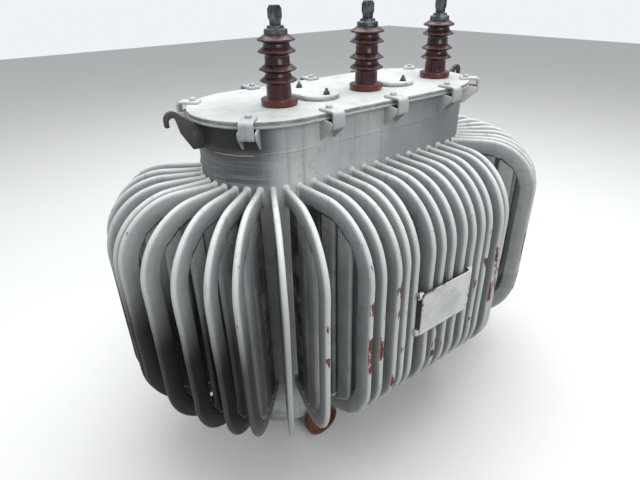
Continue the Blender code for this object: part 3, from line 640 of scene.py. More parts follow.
class Workpiece:
    """A mesh under way, shaped with bmesh operators."""

    def __init__(self, name: str = "part") -> None:
        """Start an empty mesh with the masks that finishes read."""
        self.name = name
        self.bm: BMesh = bmesh.new()
        self.masks = {mask: self.bm.verts.layers.float.new(mask.value) for mask in Mask}

    def set_mask(self, verts: Iterable[BMVert], mask: Mask, value: float) -> None:
        """Give every vertex the same number."""
        for vert in verts:
            vert[self.masks[mask]] = value

    def add(self, part: Workpiece, place: Matrix = Matrix()) -> None:
        """Join another mesh to this one.

        Args:
            part: The other mesh, which is used up.
            place: Where its origin and axes go.
        """
        bmesh.ops.transform(part.bm, matrix=place, verts=part.bm.verts)
        mesh = bpy.data.meshes.new("joining")
        part.bm.to_mesh(mesh)
        part.bm.free()
        self.bm.from_mesh(mesh)
        bpy.data.meshes.remove(mesh)

    def oval(self, half_length: float, half_width: float, sides: int, place: Matrix) -> list[BMEdge]:
        """Make an open ring: a circle pulled apart along local X into a flat oval.

        Args:
            half_length: Half of the oval's length.
            half_width: Half of its width.
            sides: The number of sides, which is even.
            place: Where the oval's centre and axes go.

        Returns:
            The ring's edges.
        """
        turn = Matrix.Rotation(math.pi / sides, 4, "Z")
        made = bmesh.ops.create_circle(
            self.bm, cap_ends=False, segments=sides, radius=half_width, matrix=turn
        )
        for vert in made["verts"]:
            vert.co.x += math.copysign(half_length - half_width, vert.co.x)
            vert.co = place @ vert.co
        return list({edge for vert in made["verts"] for edge in vert.link_edges})

    def rectangle(self, width: float, height: float, place: Matrix) -> list[BMEdge]:
        """Make an open rectangular ring round the place's origin, in its XY plane."""
        turn = Matrix.Rotation(math.pi / 4, 4, "Z")
        made = bmesh.ops.create_circle(
            self.bm, cap_ends=False, segments=4, radius=math.sqrt(0.5), matrix=turn
        )
        stretch = Matrix.Diagonal((width, height, 1.0, 1.0))
        bmesh.ops.transform(self.bm, matrix=place @ stretch, verts=made["verts"])
        return list({edge for vert in made["verts"] for edge in vert.link_edges})

    def extend(self, ring: list[BMEdge], offset: Vector, steps: int = 1) -> list[BMEdge]:
        """Extrude a ring along a straight line.

        Args:
            ring: The ring's edges.
            offset: The whole move.
            steps: How many stretches it is made in.

        Returns:
            The edges of the last ring.
        """
        for _ in range(steps):
            made = bmesh.ops.extrude_edge_only(self.bm, edges=ring)["geom"]
            fresh = {item for item in made if isinstance(item, BMVert)}
            bmesh.ops.translate(self.bm, verts=list(fresh), vec=offset / steps)
            ring = [item for item in made if isinstance(item, BMEdge) and fresh.issuperset(item.verts)]
        return ring

    def bend(
        self, ring: list[BMEdge], centre: Vector, axis: Vector, angle: float, steps: int
    ) -> list[BMEdge]:
        """Spin a ring about an axis and return the edges of the last ring.

        Args:
            ring: The ring's edges.
            centre: A point on the axis.
            axis: The axis' direction.
            angle: The whole turn.
            steps: How many stretches it is made in.

        Returns:
            The edges of the last ring.
        """
        verts = ring_verts(ring)
        last = bmesh.ops.spin(
            self.bm, geom=verts + ring, cent=centre, axis=axis, angle=angle, steps=steps, use_duplicate=False
        )["geom_last"]
        return [item for item in last if isinstance(item, BMEdge)]

    def cap(self, ring: list[BMEdge]) -> None:
        """Close a ring with one face."""
        bmesh.ops.contextual_create(self.bm, geom=ring)

    def soften(self, width: float, segments: int = 2, sharper: float = 40.0) -> None:
        """Round every edge that turns by more than an angle in degrees.

        Args:
            width: How far each edge is cut back.
            segments: How many faces round it.
            sharper: Only edges that turn by more degrees than this are rounded.
        """
        edges = [
            edge
            for edge in self.bm.edges
            if edge.is_manifold and edge.calc_face_angle(0) > math.radians(sharper)
        ]
        bmesh.ops.bevel(
            self.bm,
            geom=edges,
            offset=width,
            offset_type="OFFSET",
            affect="EDGES",
            segments=segments,
            profile=0.5,
            material=-1,
            clamp_overlap=True,
        )

    def wobble(self, scale: float, amount: float, seed: float) -> None:
        """Push every vertex about with smooth noise, as dents and hand work do.

        Args:
            scale: How fine the noise is.
            amount: How far a vertex moves at most.
            seed: A number that sets the noise apart.
        """
        for vert in self.bm.verts:
            point = vert.co * scale + Vector((seed, seed * 1.7, -seed))
            vert.co += noise.noise_vector(point) * amount

    def done(
        self,
        material: bpy.types.Material,
        slot: Slot,
        replaced: Sequence[str] = (),
        smooth: float = 35.0,
        body: Body = Body.TRANSFORMER,
    ) -> None:
        """Turn the mesh into a piece that rides on its body.

        Args:
            material: The finish.
            slot: The record's material slot. It is not used.
            replaced: The CAD nodes that it stands for.
            smooth: Edges that turn by more than this many degrees stay sharp.
            body: The body that carries it.
        """
        bmesh.ops.recalc_face_normals(self.bm, faces=self.bm.faces)
        mesh = bpy.data.meshes.new(self.name)
        self.bm.to_mesh(mesh)
        self.bm.free()
        mesh.materials.append(material)
        mesh.shade_smooth()
        mesh.set_sharp_from_angle(angle=math.radians(smooth))
        made = bpy.data.objects.new(self.name, mesh)
        bpy.context.scene.collection.objects.link(made)
        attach(made, body.value)
        if replaced:
            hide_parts(*replaced)
        mesh.calc_loop_triangles()
        LOG.info("%s: %d triangles", self.name, len(mesh.loop_triangles))


def begin(name: str, part: Workpiece, place: Matrix = Matrix()) -> Workpiece:
    """Start a piece with one part on its place."""
    piece = Workpiece(name)
    piece.add(part, place)
    return piece


def foot_of(node: str) -> tuple[Matrix, tuple[float, float, float]]:
    """Return a frame at the middle of a CAD node's foot, and the node's size along each axis."""
    low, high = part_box(node)
    place = Matrix.Translation(((low.x + high.x) / 2, (low.y + high.y) / 2, low.z))
    return place, (high.x - low.x, high.y - low.y, high.z - low.z)


def ring_verts(ring: Iterable[BMEdge]) -> list[BMVert]:
    """Return the vertices of a ring of edges."""
    return list({vert for edge in ring for vert in edge.verts})


def lathe(profile: Sequence[Point], steps: int) -> Workpiece:
    """Spin a profile round Z.

    Args:
        profile: Points as (radius, height). A profile that starts and ends at no radius makes a solid, and
            any other is closed into a ring.
        steps: The number of sides.

    Returns:
        The turned mesh.
    """
    part = Workpiece()
    line = [part.bm.verts.new((radius, 0, height)) for radius, height in profile]
    ends = list(zip(line, line[1:]))
    if profile[0][0] > 0:
        ends.append((line[-1], line[0]))
    edges = [part.bm.edges.new(pair) for pair in ends]
    bmesh.ops.spin(
        part.bm,
        geom=line + edges,
        cent=(0, 0, 0),
        axis=(0, 0, 1),
        angle=2 * math.pi,
        steps=steps,
        use_merge=True,
    )
    bmesh.ops.remove_doubles(part.bm, verts=part.bm.verts, dist=MERGE)
    return part


def slab(outline: Sequence[Point], low: float, high: float) -> Workpiece:
    """Extrude a closed outline along Z, from one height to another.

    Args:
        outline: The corners in order.
        low: The height it starts at.
        high: The height it ends at.

    Returns:
        The mesh.
    """
    part = Workpiece()
    face = part.bm.faces.new([part.bm.verts.new((u, v, low)) for u, v in outline])
    made = bmesh.ops.extrude_face_region(part.bm, geom=[face], use_keep_orig=True)["geom"]
    lifted = [item for item in made if isinstance(item, BMVert)]
    bmesh.ops.translate(part.bm, verts=lifted, vec=(0, 0, high - low))
    return part


def washer(radius: float, height: float) -> Workpiece:
    """Turn a washer that stands on the XY plane."""
    return lathe([(0, 0), (radius, 0), (radius, height), (0, height)], 24)


def hexagon(across: float, height: float) -> Workpiece:
    """Make a bolt head or a nut with its corners turned off. It stands on the XY plane.

    Args:
        across: The width across its flats.
        height: Its height.

    Returns:
        The mesh.
    """
    part = Workpiece()
    made = bmesh.ops.create_circle(part.bm, cap_ends=True, segments=6, radius=across / math.sqrt(3))
    face = made["verts"][0].link_faces[0]
    lifted = bmesh.ops.extrude_face_region(part.bm, geom=[face], use_keep_orig=True)["geom"]
    top = [item for item in lifted if isinstance(item, BMVert)]
    bmesh.ops.translate(part.bm, verts=top, vec=(0, 0, height))
    part.soften(across * 0.06, 1, 30.0)
    return part


def stack(straight: float, steps: Sequence[Point], sides: int, hollow: bool = False) -> Workpiece:
    """Skin a stack of round-ended rings, long along X.

    Args:
        straight: Half the length of the straight part.
        steps: Each ring's (radius, height).
        sides: The number of sides.
        hollow: Whether the last ring is joined back to the first. Otherwise both ends are closed.

    Returns:
        The mesh.
    """
    part = Workpiece()
    radius, height = steps[0]
    first = part.oval(straight + radius, radius, sides, Matrix.Translation((0, 0, height)))
    ring = first
    for radius, height in list(steps[1:]) + ([steps[0]] if hollow else []):
        ring = part.extend(ring, Vector())
        for vert in ring_verts(ring):
            shift = math.copysign(straight, vert.co.x)
            flat = Vector((vert.co.x - shift, vert.co.y, 0)).normalized() * radius
            vert.co = Vector((flat.x + shift, flat.y, height))
    if hollow:
        bmesh.ops.remove_doubles(part.bm, verts=part.bm.verts, dist=MERGE)
    else:
        part.cap(first)
        part.cap(ring)
    return part


def tray(width: float, height: float, steps: Sequence[Point], marked: int = 0) -> Workpiece:
    """Skin a stack of rectangles and close both ends.

    Args:
        width: The width along X.
        height: The height along Y.
        steps: Each rectangle's (inset, level along Z).
        marked: How many of the first rectangles get the crest mask.

    Returns:
        The mesh.
    """
    part = Workpiece()
    inset, level = steps[0]
    first = part.rectangle(width - 2 * inset, height - 2 * inset, Matrix.Translation((0, 0, level)))
    part.set_mask(ring_verts(first), Mask.CREST, 1.0 if marked else 0.0)
    ring = first
    for number, (inset, level) in enumerate(steps[1:], start=1):
        ring = part.extend(ring, Vector())
        for vert in ring_verts(ring):
            u = math.copysign(width / 2 - inset, vert.co.x)
            v = math.copysign(height / 2 - inset, vert.co.y)
            vert.co = Vector((u, v, level))
        part.set_mask(ring_verts(ring), Mask.CREST, 1.0 if number < marked else 0.0)
    part.cap(first)
    part.cap(ring)
    return part


def arc_points(centre: Point, radius: float, start: float, end: float, steps: int) -> list[Point]:
    """Return the points of an arc, ends included, with angles in degrees.

    Args:
        centre: The arc's centre.
        radius: Its radius.
        start: The first angle.
        end: The last angle.
        steps: How many stretches it is made in.

    Returns:
        The points.
    """
    points = []
    for step in range(steps + 1):
        angle = math.radians(start + (end - start) * step / steps)
        points.append((centre[0] + radius * math.cos(angle), centre[1] + radius * math.sin(angle)))
    return points


def rounded(points: Sequence[tuple[float, float, float]], steps: int = 4) -> list[Point]:
    """Round the corners of an open line.

    Args:
        points: Each corner as (u, v, radius). A radius of 0 keeps it sharp.
        steps: The number of stretches in each rounded corner.

    Returns:
        The line's points.
    """
    line: list[Point] = []
    for index, (u, v, radius) in enumerate(points):
        corner = Vector((u, v))
        if radius == 0 or index in (0, len(points) - 1):
            line.append((u, v))
            continue
        before = Vector(points[index - 1][:2]) - corner
        after = Vector(points[index + 1][:2]) - corner
        back = min(radius / math.tan(before.angle(after) / 2), before.length * 0.49, after.length * 0.49)
        start = corner + before.normalized() * back
        end = corner + after.normalized() * back
        for step in range(steps + 1):
            share = step / steps
            along = start.lerp(corner, share).lerp(corner.lerp(end, share), share)
            line.append((along.x, along.y))
    return line


@dataclass
class Fin:
    """The shape of one cooling fin, in a frame with X outward from the tank and Z up."""

    layout: Layout
    width: float = 0.060
    thickness: float = 0.017
    bend_radius: float = 0.180
    drop: float = 0.200
    height: float = 0.806
    bite: float = 0.003
    gaps: tuple[float, float, float] = (0.040, 0.008, 0.014)
    # Painted shade on each riser, darkest next to the tank.
    painted_shades: tuple[float, float, float] = (1.0, 0.6, 0.3)
    sides: int = 20
    bend_steps: int = 14
    run_steps: int = 4
    drop_steps: int = 22
    riser_steps: int = 3
    riser_bite: float = 0.004
    root_painted_shade: float = 0.55
    bead: float = 0.0024
    top: float = field(init=False)
    bottom: float = field(init=False)
    middle: float = field(init=False)
    outer: float = field(init=False)
    hinge: float = field(init=False)

    def __post_init__(self) -> None:
        """Work out the levels of the two runs and the centre of the bends."""
        half = self.width / 2
        self.top = self.layout.lid_top - self.drop - half
        self.bottom = self.layout.lid_top - self.drop - self.height + half
        self.middle = (self.top + self.bottom) / 2
        self.outer = self.layout.reach - half
        self.hinge = self.outer - self.bend_radius

    def riser_centres(self) -> list[float]:
        """Return the distance of each riser from the tank's axis."""
        centres = []
        edge = self.layout.radius
        for gap in self.gaps:
            centres.append(edge + gap + self.width / 2)
            edge += gap + self.width
        return centres

    def underside(self, out: float, side: float) -> float:
        """Return the height of the upper run's underside, where it is met at this distance and offset.

        Args:
            out: The distance from the tank's axis.
            side: The offset from the tube's middle.

        Returns:
            The height.
        """
        half = self.thickness / 2
        dip = half - math.sqrt(max(half**2 - min(abs(side), half) ** 2, 0))
        radius = self.bend_radius - self.width / 2 + dip
        return self.top - self.bend_radius + math.sqrt(max(radius**2 - max(out - self.hinge, 0) ** 2, 0))

    def crest_at(self, point: Vector) -> float:
        """Return 1 on the tube's outer edge and 0 on its inner edge.

        Args:
            point: A point of the tube.

        Returns:
            The mask, from 0 to 1.
        """
        upper = self.top - self.bend_radius
        lower = self.bottom + self.bend_radius
        away = point.x - self.hinge
        if lower <= point.z <= upper:
            off = away - self.bend_radius if away > 0 else self.bend_radius
        else:
            rise = max(point.z - upper, lower - point.z)
            off = math.hypot(max(away, 0), rise) - self.bend_radius
        return min(max(0.5 + off / self.width, 0.0), 1.0)


@dataclass(frozen=True)
class Scrape:
    """A stretch of a fin's outer edge where the paint is knocked off."""

    low: float
    high: float
    depth: float = 1.0
    fade: float = 0.010

    def at(self, level: float) -> float:
        """Return how far the paint is gone at this height, from 0 to 1."""
        inside = min(level - self.low, self.high - level) / self.fade
        return self.depth * min(max(inside + 0.5, 0.0), 1.0)


@dataclass(frozen=True)
class FinStand:
    """Where one fin stands, and where it is scraped."""

    place: Matrix
    scrapes: tuple[Scrape, ...] = ()


@dataclass
class FinBank:
    """The fins of one wall, welded to it at both ends."""

    fin: Fin
    dice: random.Random
    bead_rows: tuple[Point, ...] = ((0.0, 0.0020), (1.0, 0.0004), (0.9, -0.0026), (0.0, -0.0052))
    root_fatness: float = 1.6
    root_length: float = 1.8

    def build(self, name: str, stands: Sequence[FinStand], node: str, material: bpy.types.Material) -> None:
        """Build one bank.

        Args:
            name: The piece's name.
            stands: Where each fin is, and where it is scraped.
            node: The CAD node that it stands for.
            material: The tubes' finish.
        """
        piece = Workpiece(name)
        for stand in stands:
            one = self.tube()
            for centre, soil in zip(self.fin.riser_centres(), self.fin.painted_shades):
                one.add(self.riser(centre, soil))
            self.settle(one, stand.scrapes)
            piece.add(one, stand.place)
        piece.done(material, Slot.GREY_PAINT, [node], 50.0)

    def tube(self) -> Workpiece:
        """Sweep the outer tube: out, round, down, round, and back in."""
        fin = self.fin
        part = Workpiece()
        root = fin.layout.radius - fin.bite
        across = Vector((0, 1, 0))
        stand = Matrix.Rotation(-QUARTER, 4, "Y")
        place = Matrix.Translation((root, 0, fin.top)) @ stand
        ring = part.oval(fin.width / 2, fin.thickness / 2, fin.sides, place)
        part.cap(ring)
        run = Vector((fin.hinge - root, 0, 0))
        ring = part.extend(ring, run, fin.run_steps)
        centre = Vector((fin.hinge, 0, fin.top - fin.bend_radius))
        ring = part.bend(ring, centre, across, QUARTER, fin.bend_steps)
        ring = part.extend(ring, Vector((0, 0, fin.bottom - fin.top + 2 * fin.bend_radius)), fin.drop_steps)
        centre = Vector((fin.hinge, 0, fin.bottom + fin.bend_radius))
        ring = part.bend(ring, centre, across, QUARTER, fin.bend_steps)
        ring = part.extend(ring, -run, fin.run_steps)
        part.cap(ring)
        # Painted shade on the tube's inner edge, towards the tank.
        for vert in part.bm.verts:
            vert[part.masks[Mask.SOIL]] = fin.root_painted_shade * (1.0 - fin.crest_at(vert.co)) ** 2
        for level in (fin.top, fin.bottom):
            part.add(self.root_bead(), Matrix.Translation((fin.layout.radius, 0, level)) @ stand)
        return part

    def riser(self, centre: float, soil: float) -> Workpiece:
        """Stand one riser between the two runs, with its ends shaped to them and beads round the joints.

        Args:
            centre: Its distance from the tank's axis.
            soil: How much painted shade it gets, from 0 to 1.

        Returns:
            The mesh.
        """
        fin = self.fin
        part = Workpiece()
        place = Matrix.Translation((centre, 0, fin.middle))
        for way in (1, -1):
            ring = part.oval(fin.width / 2, fin.thickness / 2, fin.sides, place)
            ring = part.extend(ring, Vector((0, 0, way * 0.20)), fin.riser_steps)
            for vert in ring_verts(ring):
                level = fin.underside(vert.co.x, vert.co.y) + fin.riser_bite
                vert.co.z = fin.middle + way * (level - fin.middle)
            part.cap(ring)
        bmesh.ops.remove_doubles(part.bm, verts=part.bm.verts, dist=MERGE)
        part.set_mask(part.bm.verts, Mask.SOIL, soil)
        for way in (1, -1):
            part.add(self.joint_bead(centre, way))
        return part

    def swell(self, vert: BMVert, amount: float) -> None:
        """Move a vertex of an upright oval, centred on the origin, away from the oval's middle line."""
        straight = (self.fin.width - self.fin.thickness) / 2
        off = Vector((vert.co.x, vert.co.y, 0))
        off.x = math.copysign(max(abs(off.x) - straight, 0.0), off.x)
        vert.co += off.normalized() * amount

    def bead(self, scale: float = 1.0) -> tuple[Workpiece, list[tuple[list[BMVert], float]]]:
        """Make a bead's rows round an oval at the origin.

        Args:
            scale: How fat it is.

        Returns:
            The mesh, and each row's vertices with how far along the tube they belong.
        """
        fin = self.fin
        part = Workpiece()
        ring = part.oval(fin.width / 2 - 0.0004, fin.thickness / 2 - 0.0004, fin.sides, Matrix())
        fat = fin.bead * self.dice.uniform(0.7, 1.25) * scale
        rows = [(ring_verts(ring), self.bead_rows[0][1])]
        last = self.bead_rows[0][0]
        for out, along in self.bead_rows[1:]:
            ring = part.extend(ring, Vector())
            for vert in ring_verts(ring):
                self.swell(vert, (out - last) * fat)
            last = out
            rows.append((ring_verts(ring), along))
        return part, rows

    def root_bead(self) -> Workpiece:
        """Make the bead where a run enters the wall, with the tube along local Z."""
        part, rows = self.bead(self.root_fatness)
        for verts, along in rows:
            for vert in verts:
                vert.co.z = along * self.root_length
        part.set_mask(part.bm.verts, Mask.BARE, 1.0)
        return part

    def joint_bead(self, centre: float, way: int) -> Workpiece:
        """Make the bead at a riser's top with 1, or at its foot with -1.

        Args:
            centre: The riser's distance from the tank's axis.
            way: Which end it is on.

        Returns:
            The mesh.
        """
        part, rows = self.bead()
        for verts, along in rows:
            for vert in verts:
                vert.co.x += centre
                level = self.fin.underside(vert.co.x, vert.co.y) + along
                vert.co.z = self.fin.middle + way * (level - self.fin.middle)
        part.set_mask(part.bm.verts, Mask.BARE, 0.0 if way > 0 else 0.9)
        # Painted shade in the crevice under the header, at a riser's top.
        part.set_mask(part.bm.verts, Mask.SOIL, 1.0 if way > 0 else 0.0)
        return part

    def settle(self, part: Workpiece, scrapes: Sequence[Scrape]) -> None:
        """Set a fin's masks, and dent, bow and lean it a little.

        Args:
            part: The fin.
            scrapes: Where its paint is knocked off.
        """
        fin = self.fin
        tone = self.dice.random()
        lean = self.dice.uniform(-0.003, 0.003)
        push = self.dice.uniform(-0.004, 0.0)
        seed = self.dice.uniform(0, 50)
        for vert in part.bm.verts:
            vert[part.masks[Mask.TONE]] = tone
            vert[part.masks[Mask.CREST]] = fin.crest_at(vert.co)
            vert[part.masks[Mask.CHIP]] = max((scrape.at(vert.co.z) for scrape in scrapes), default=0.0)
            free = min(max((vert.co.x - fin.layout.radius - 0.02) / 0.3, 0.0), 1.0)
            high = (vert.co.z - fin.middle) / fin.height
            bow = noise.noise(Vector((seed, high * 1.6, 0))) * 0.006
            vert.co.y += (lean + bow) * free
            vert.co.x += push * free
        part.wobble(9.0, 0.0011, seed)


# How far each bent fin is turned aside, and where the paint is knocked off the outer edges
LEFT_TURNS: dict[int, float] = {8: -11.5, 9: -6.0, 10: -2.5, 11: -2.0, 12: -7.0, 13: -2.5}
RIGHT_TURNS: dict[int, float] = {0: 21.5, 1: 11.0, 2: 2.5}
FRONT_TURNS: dict[int, float] = {
    0: 1.9, 1: 1.3, 2: 1.4, 4: -2.9, 6: -1.9, 7: -1.6,
    8: -1.3, 9: -1.5, 10: -3.5, 11: -5.8, 12: -3.4, 13: -8.2,
}
FRONT_SCRAPES: dict[int, tuple[Scrape, ...]] = {
    0: (Scrape(0.914, 0.932, 0.8), Scrape(0.754, 0.810), Scrape(0.538, 0.690)),
    1: (Scrape(0.730, 0.752, 0.8), Scrape(0.571, 0.668, 0.9)),
    2: (Scrape(0.912, 0.930, 0.7), Scrape(0.708, 0.820), Scrape(0.400, 0.470, 0.8)),
    3: (Scrape(0.537, 0.572, 0.8),),
    6: (Scrape(0.430, 0.590, 0.9),),
    7: (Scrape(0.448, 0.505, 0.8),),
    10: (Scrape(0.637, 0.684, 0.8), Scrape(0.490, 0.526, 0.8)),
    11: (Scrape(0.708, 0.758, 0.8),),
    12: (Scrape(0.545, 0.775),),
    13: (Scrape(0.560, 0.740, 0.6),),
}
LEFT_SCRAPES: dict[int, tuple[Scrape, ...]] = {
    11: (Scrape(0.948, 0.960, 0.6),),
    12: (Scrape(0.958, 0.974, 0.7),),
    14: (Scrape(0.762, 0.784, 0.8), Scrape(0.642, 0.670, 0.9)),
}
RIGHT_SCRAPES: dict[int, tuple[Scrape, ...]] = {0: (Scrape(0.420, 0.745, 0.75),)}


@dataclass
class CoolingFins:
    """All the fins: straight ones along the sides and a fan round each end.

    Fins are numbered from the left, or round an end. Some are bent aside, by a turn in degrees.
    """

    layout: Layout
    finishes: Finishes
    dice: random.Random
    side_fins: int = 14
    end_shift: float = 0.0182
    fan_fins: int = 15
    fan_step: float = math.radians(10.5)
    left_first: int = 3
    bank: FinBank = field(init=False)

    def __post_init__(self) -> None:
        """Set up the bank that builds each wall's fins."""
        self.bank = FinBank(Fin(self.layout), self.dice)

    def swung(self, place: Matrix, turn: float) -> Matrix:
        """Turn a fin's frame aside, in degrees, about the spot where its tube meets the wall.

        Args:
            place: The fin's frame.
            turn: The turn in degrees.

        Returns:
            The turned frame.
        """
        angle = math.radians(turn)
        root = self.layout.radius
        deeper = abs(math.sin(angle)) * self.bank.fin.thickness / 4
        back = Matrix.Translation((-root - deeper, 0, 0))
        return place @ Matrix.Translation((root, 0, 0)) @ Matrix.Rotation(angle, 4, "Z") @ back

    def knocks(self) -> tuple[Scrape, ...]:
        """Return a few scrapes for a fin that the photograph doesn't show."""
        found = []
        while self.dice.random() < 0.4:
            low = self.dice.uniform(0.42, 0.80)
            found.append(Scrape(low, low + self.dice.uniform(0.02, 0.09), self.dice.uniform(0.6, 0.9)))
        return tuple(found)

    def side(self, first: int, last: int, side: int) -> list[FinStand]:
        """Return where a side's fins stand, from one number up to another.

        Args:
            first: The first fin's number.
            last: The number to stop before.
            side: -1 for the front and 1 for the rear.

        Returns:
            The fins' places.
        """
        middle = (self.side_fins - 1) / 2
        pitch = (self.layout.half_straight + self.end_shift) / middle
        stands = []
        for number in range(first, last):
            place = self.layout.outward((number - middle) * pitch, QUARTER * side)
            if side < 0:
                place = self.swung(place, FRONT_TURNS.get(number, 0.0))
                stands.append(FinStand(place, FRONT_SCRAPES.get(number, ())))
            else:
                stands.append(FinStand(place, self.knocks()))
        return stands

    def fan(self, end: int) -> list[FinStand]:
        """Return where the fins of an end wall stand. The left end has none at its rear corner.

        Args:
            end: -1 for the left end and 1 for the right.

        Returns:
            The fins' places.
        """
        middle = (self.fan_fins - 1) / 2
        heading, first, turns, scrapes = 0.0, 0, RIGHT_TURNS, RIGHT_SCRAPES
        if end < 0:
            heading, first, turns, scrapes = math.pi, self.left_first, LEFT_TURNS, LEFT_SCRAPES
        stands = []
        for number in range(first, self.fan_fins):
            angle = heading + (number - middle) * self.fan_step
            place = self.layout.outward(end * self.layout.half_straight, angle)
            stands.append(FinStand(self.swung(place, turns.get(number, 0.0)), scrapes.get(number, ())))
        last = self.side_fins - 1 if end > 0 else 0
        return stands + self.side(last, last + 1, -1) + self.side(last, last + 1, 1)

    def build(self) -> None:
        """Build the four banks."""
        tubes = self.finishes.tubes
        self.bank.build("front_fins", self.side(1, self.side_fins - 1, -1), "front_wall", tubes)
        self.bank.build("rear_fins", self.side(1, self.side_fins - 1, 1), "rear_wall", tubes)
        self.bank.build("left_end_fins", self.fan(-1), "left_end_wall", tubes)
        self.bank.build("right_end_fins", self.fan(1), "right_end_wall", tubes)


@dataclass
class TankShell:
    """The tank's sheet with its weld seam, and its bottom plate."""

    layout: Layout
    finishes: Finishes
    sides: int = 112
    wall: float = 0.004
    seam_drop: float = 0.099
    seam_height: float = 0.007
    seam_swell: float = 0.0016
    seam_flank: float = 0.002
    foot_edge: float = 0.001
    foot_swell: float = 0.0012
    foot_fillet: float = 0.003

    def skin(self, steps: Sequence[Point], hollow: bool = False) -> Workpiece:
        """Skin a stack of rings of the tank's own outline."""
        part = stack(self.layout.half_straight, steps, self.sides, hollow)
        bmesh.ops.translate(part.bm, verts=part.bm.verts, vec=(0, self.layout.axis_y, 0))
        return part

    def build(self) -> None:
        """Build the sheet and the bottom plate."""
        lay = self.layout
        seam = lay.lid_top - self.seam_drop
        rise = seam - lay.wall_foot
        half = self.seam_height / 2
        swollen = lay.radius + self.seam_swell
        inside = lay.radius - self.wall
        levels = [(lay.radius, lay.wall_foot + share * rise) for share in (0.0, 0.25, 0.5, 0.75, 0.85, 0.95)]
        levels += [
            (lay.radius, seam - half - self.seam_flank),
            (lay.radius, seam - half),
            (swollen, seam - self.seam_height / 5),
            (swollen, seam + self.seam_height / 5),
            (lay.radius, seam + half),
            (lay.radius, seam + half + self.seam_flank),
            (lay.radius, (seam + lay.rim_low) / 2),
            (lay.radius, lay.rim_low),
            (inside, lay.rim_low),
            (inside, lay.wall_foot),
        ]
        piece = begin("tank_sheet", self.skin(levels, True))
        piece.wobble(7.0, 0.0010, 3.0)
        piece.done(self.finishes.shell, Slot.GREY_PAINT, smooth=60.0)

        low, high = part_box("tank_bottom")
        edge = lay.radius + lay.bottom_ledge
        top = high.z + self.foot_fillet
        plate = self.skin([
            (edge - self.foot_edge, low.z), (edge, low.z + self.foot_edge), (edge, high.z - self.foot_edge),
            (lay.radius + self.foot_swell, top), (lay.radius, top),
        ])
        begin("tank_bottom_plate", plate).done(self.finishes.shell, Slot.GREY_PAINT, ["tank_bottom"], 40.0)


@dataclass
class Lid:
    """The rim, the gasket and the lid plate."""

    shell: TankShell
    rim_width: float = 0.028
    gasket_width: float = 0.018
    gasket_inset: float = 0.002
    gasket_bulge: float = 0.0008
    round_over: float = 0.0022

    def build(self) -> None:
        """Build the stack from the rim up."""
        lay = self.shell.layout
        finishes = self.shell.finishes
        edge = lay.rim_radius
        r = self.round_over
        seal_low, seal_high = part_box("lid_gasket")
        top = seal_low.z - SEAT
        inner = edge - self.rim_width
        rim = self.shell.skin([
            (inner, lay.rim_low), (edge - r, lay.rim_low), (edge, lay.rim_low + r),
            (edge, top - r), (edge - r, top), (inner, top),
        ], True)
        piece = begin("rim_ring", rim)
        piece.wobble(6.0, 0.0006, 9.0)
        piece.done(finishes.fittings, Slot.GREY_PAINT, ["tank_rim"], 50.0)

        out = edge - self.gasket_inset
        inner = out - self.gasket_width
        seal = self.shell.skin([
            (inner, seal_low.z), (out, seal_low.z), (out + self.gasket_bulge, (seal_low.z + seal_high.z) / 2),
            (out, seal_high.z), (inner, seal_high.z),
        ], True)
        begin("lid_seal", seal).done(finishes.rubber, Slot.BLACK_RUBBER, ["lid_gasket"])

        rings = [
            (edge - r, lay.lid_low), (edge, lay.lid_low + r), (edge, lay.lid_top - r),
            (edge - r * 0.3, lay.lid_top - r * 0.3), (edge - r, lay.lid_top),
        ]
        rings += [(edge - inset, lay.lid_top) for inset in (0.03, 0.06, 0.12, 0.18)]
        begin("lid_plate", self.shell.skin(rings)).done(finishes.lid, Slot.LID_PAINT, ["lid"], 50.0)


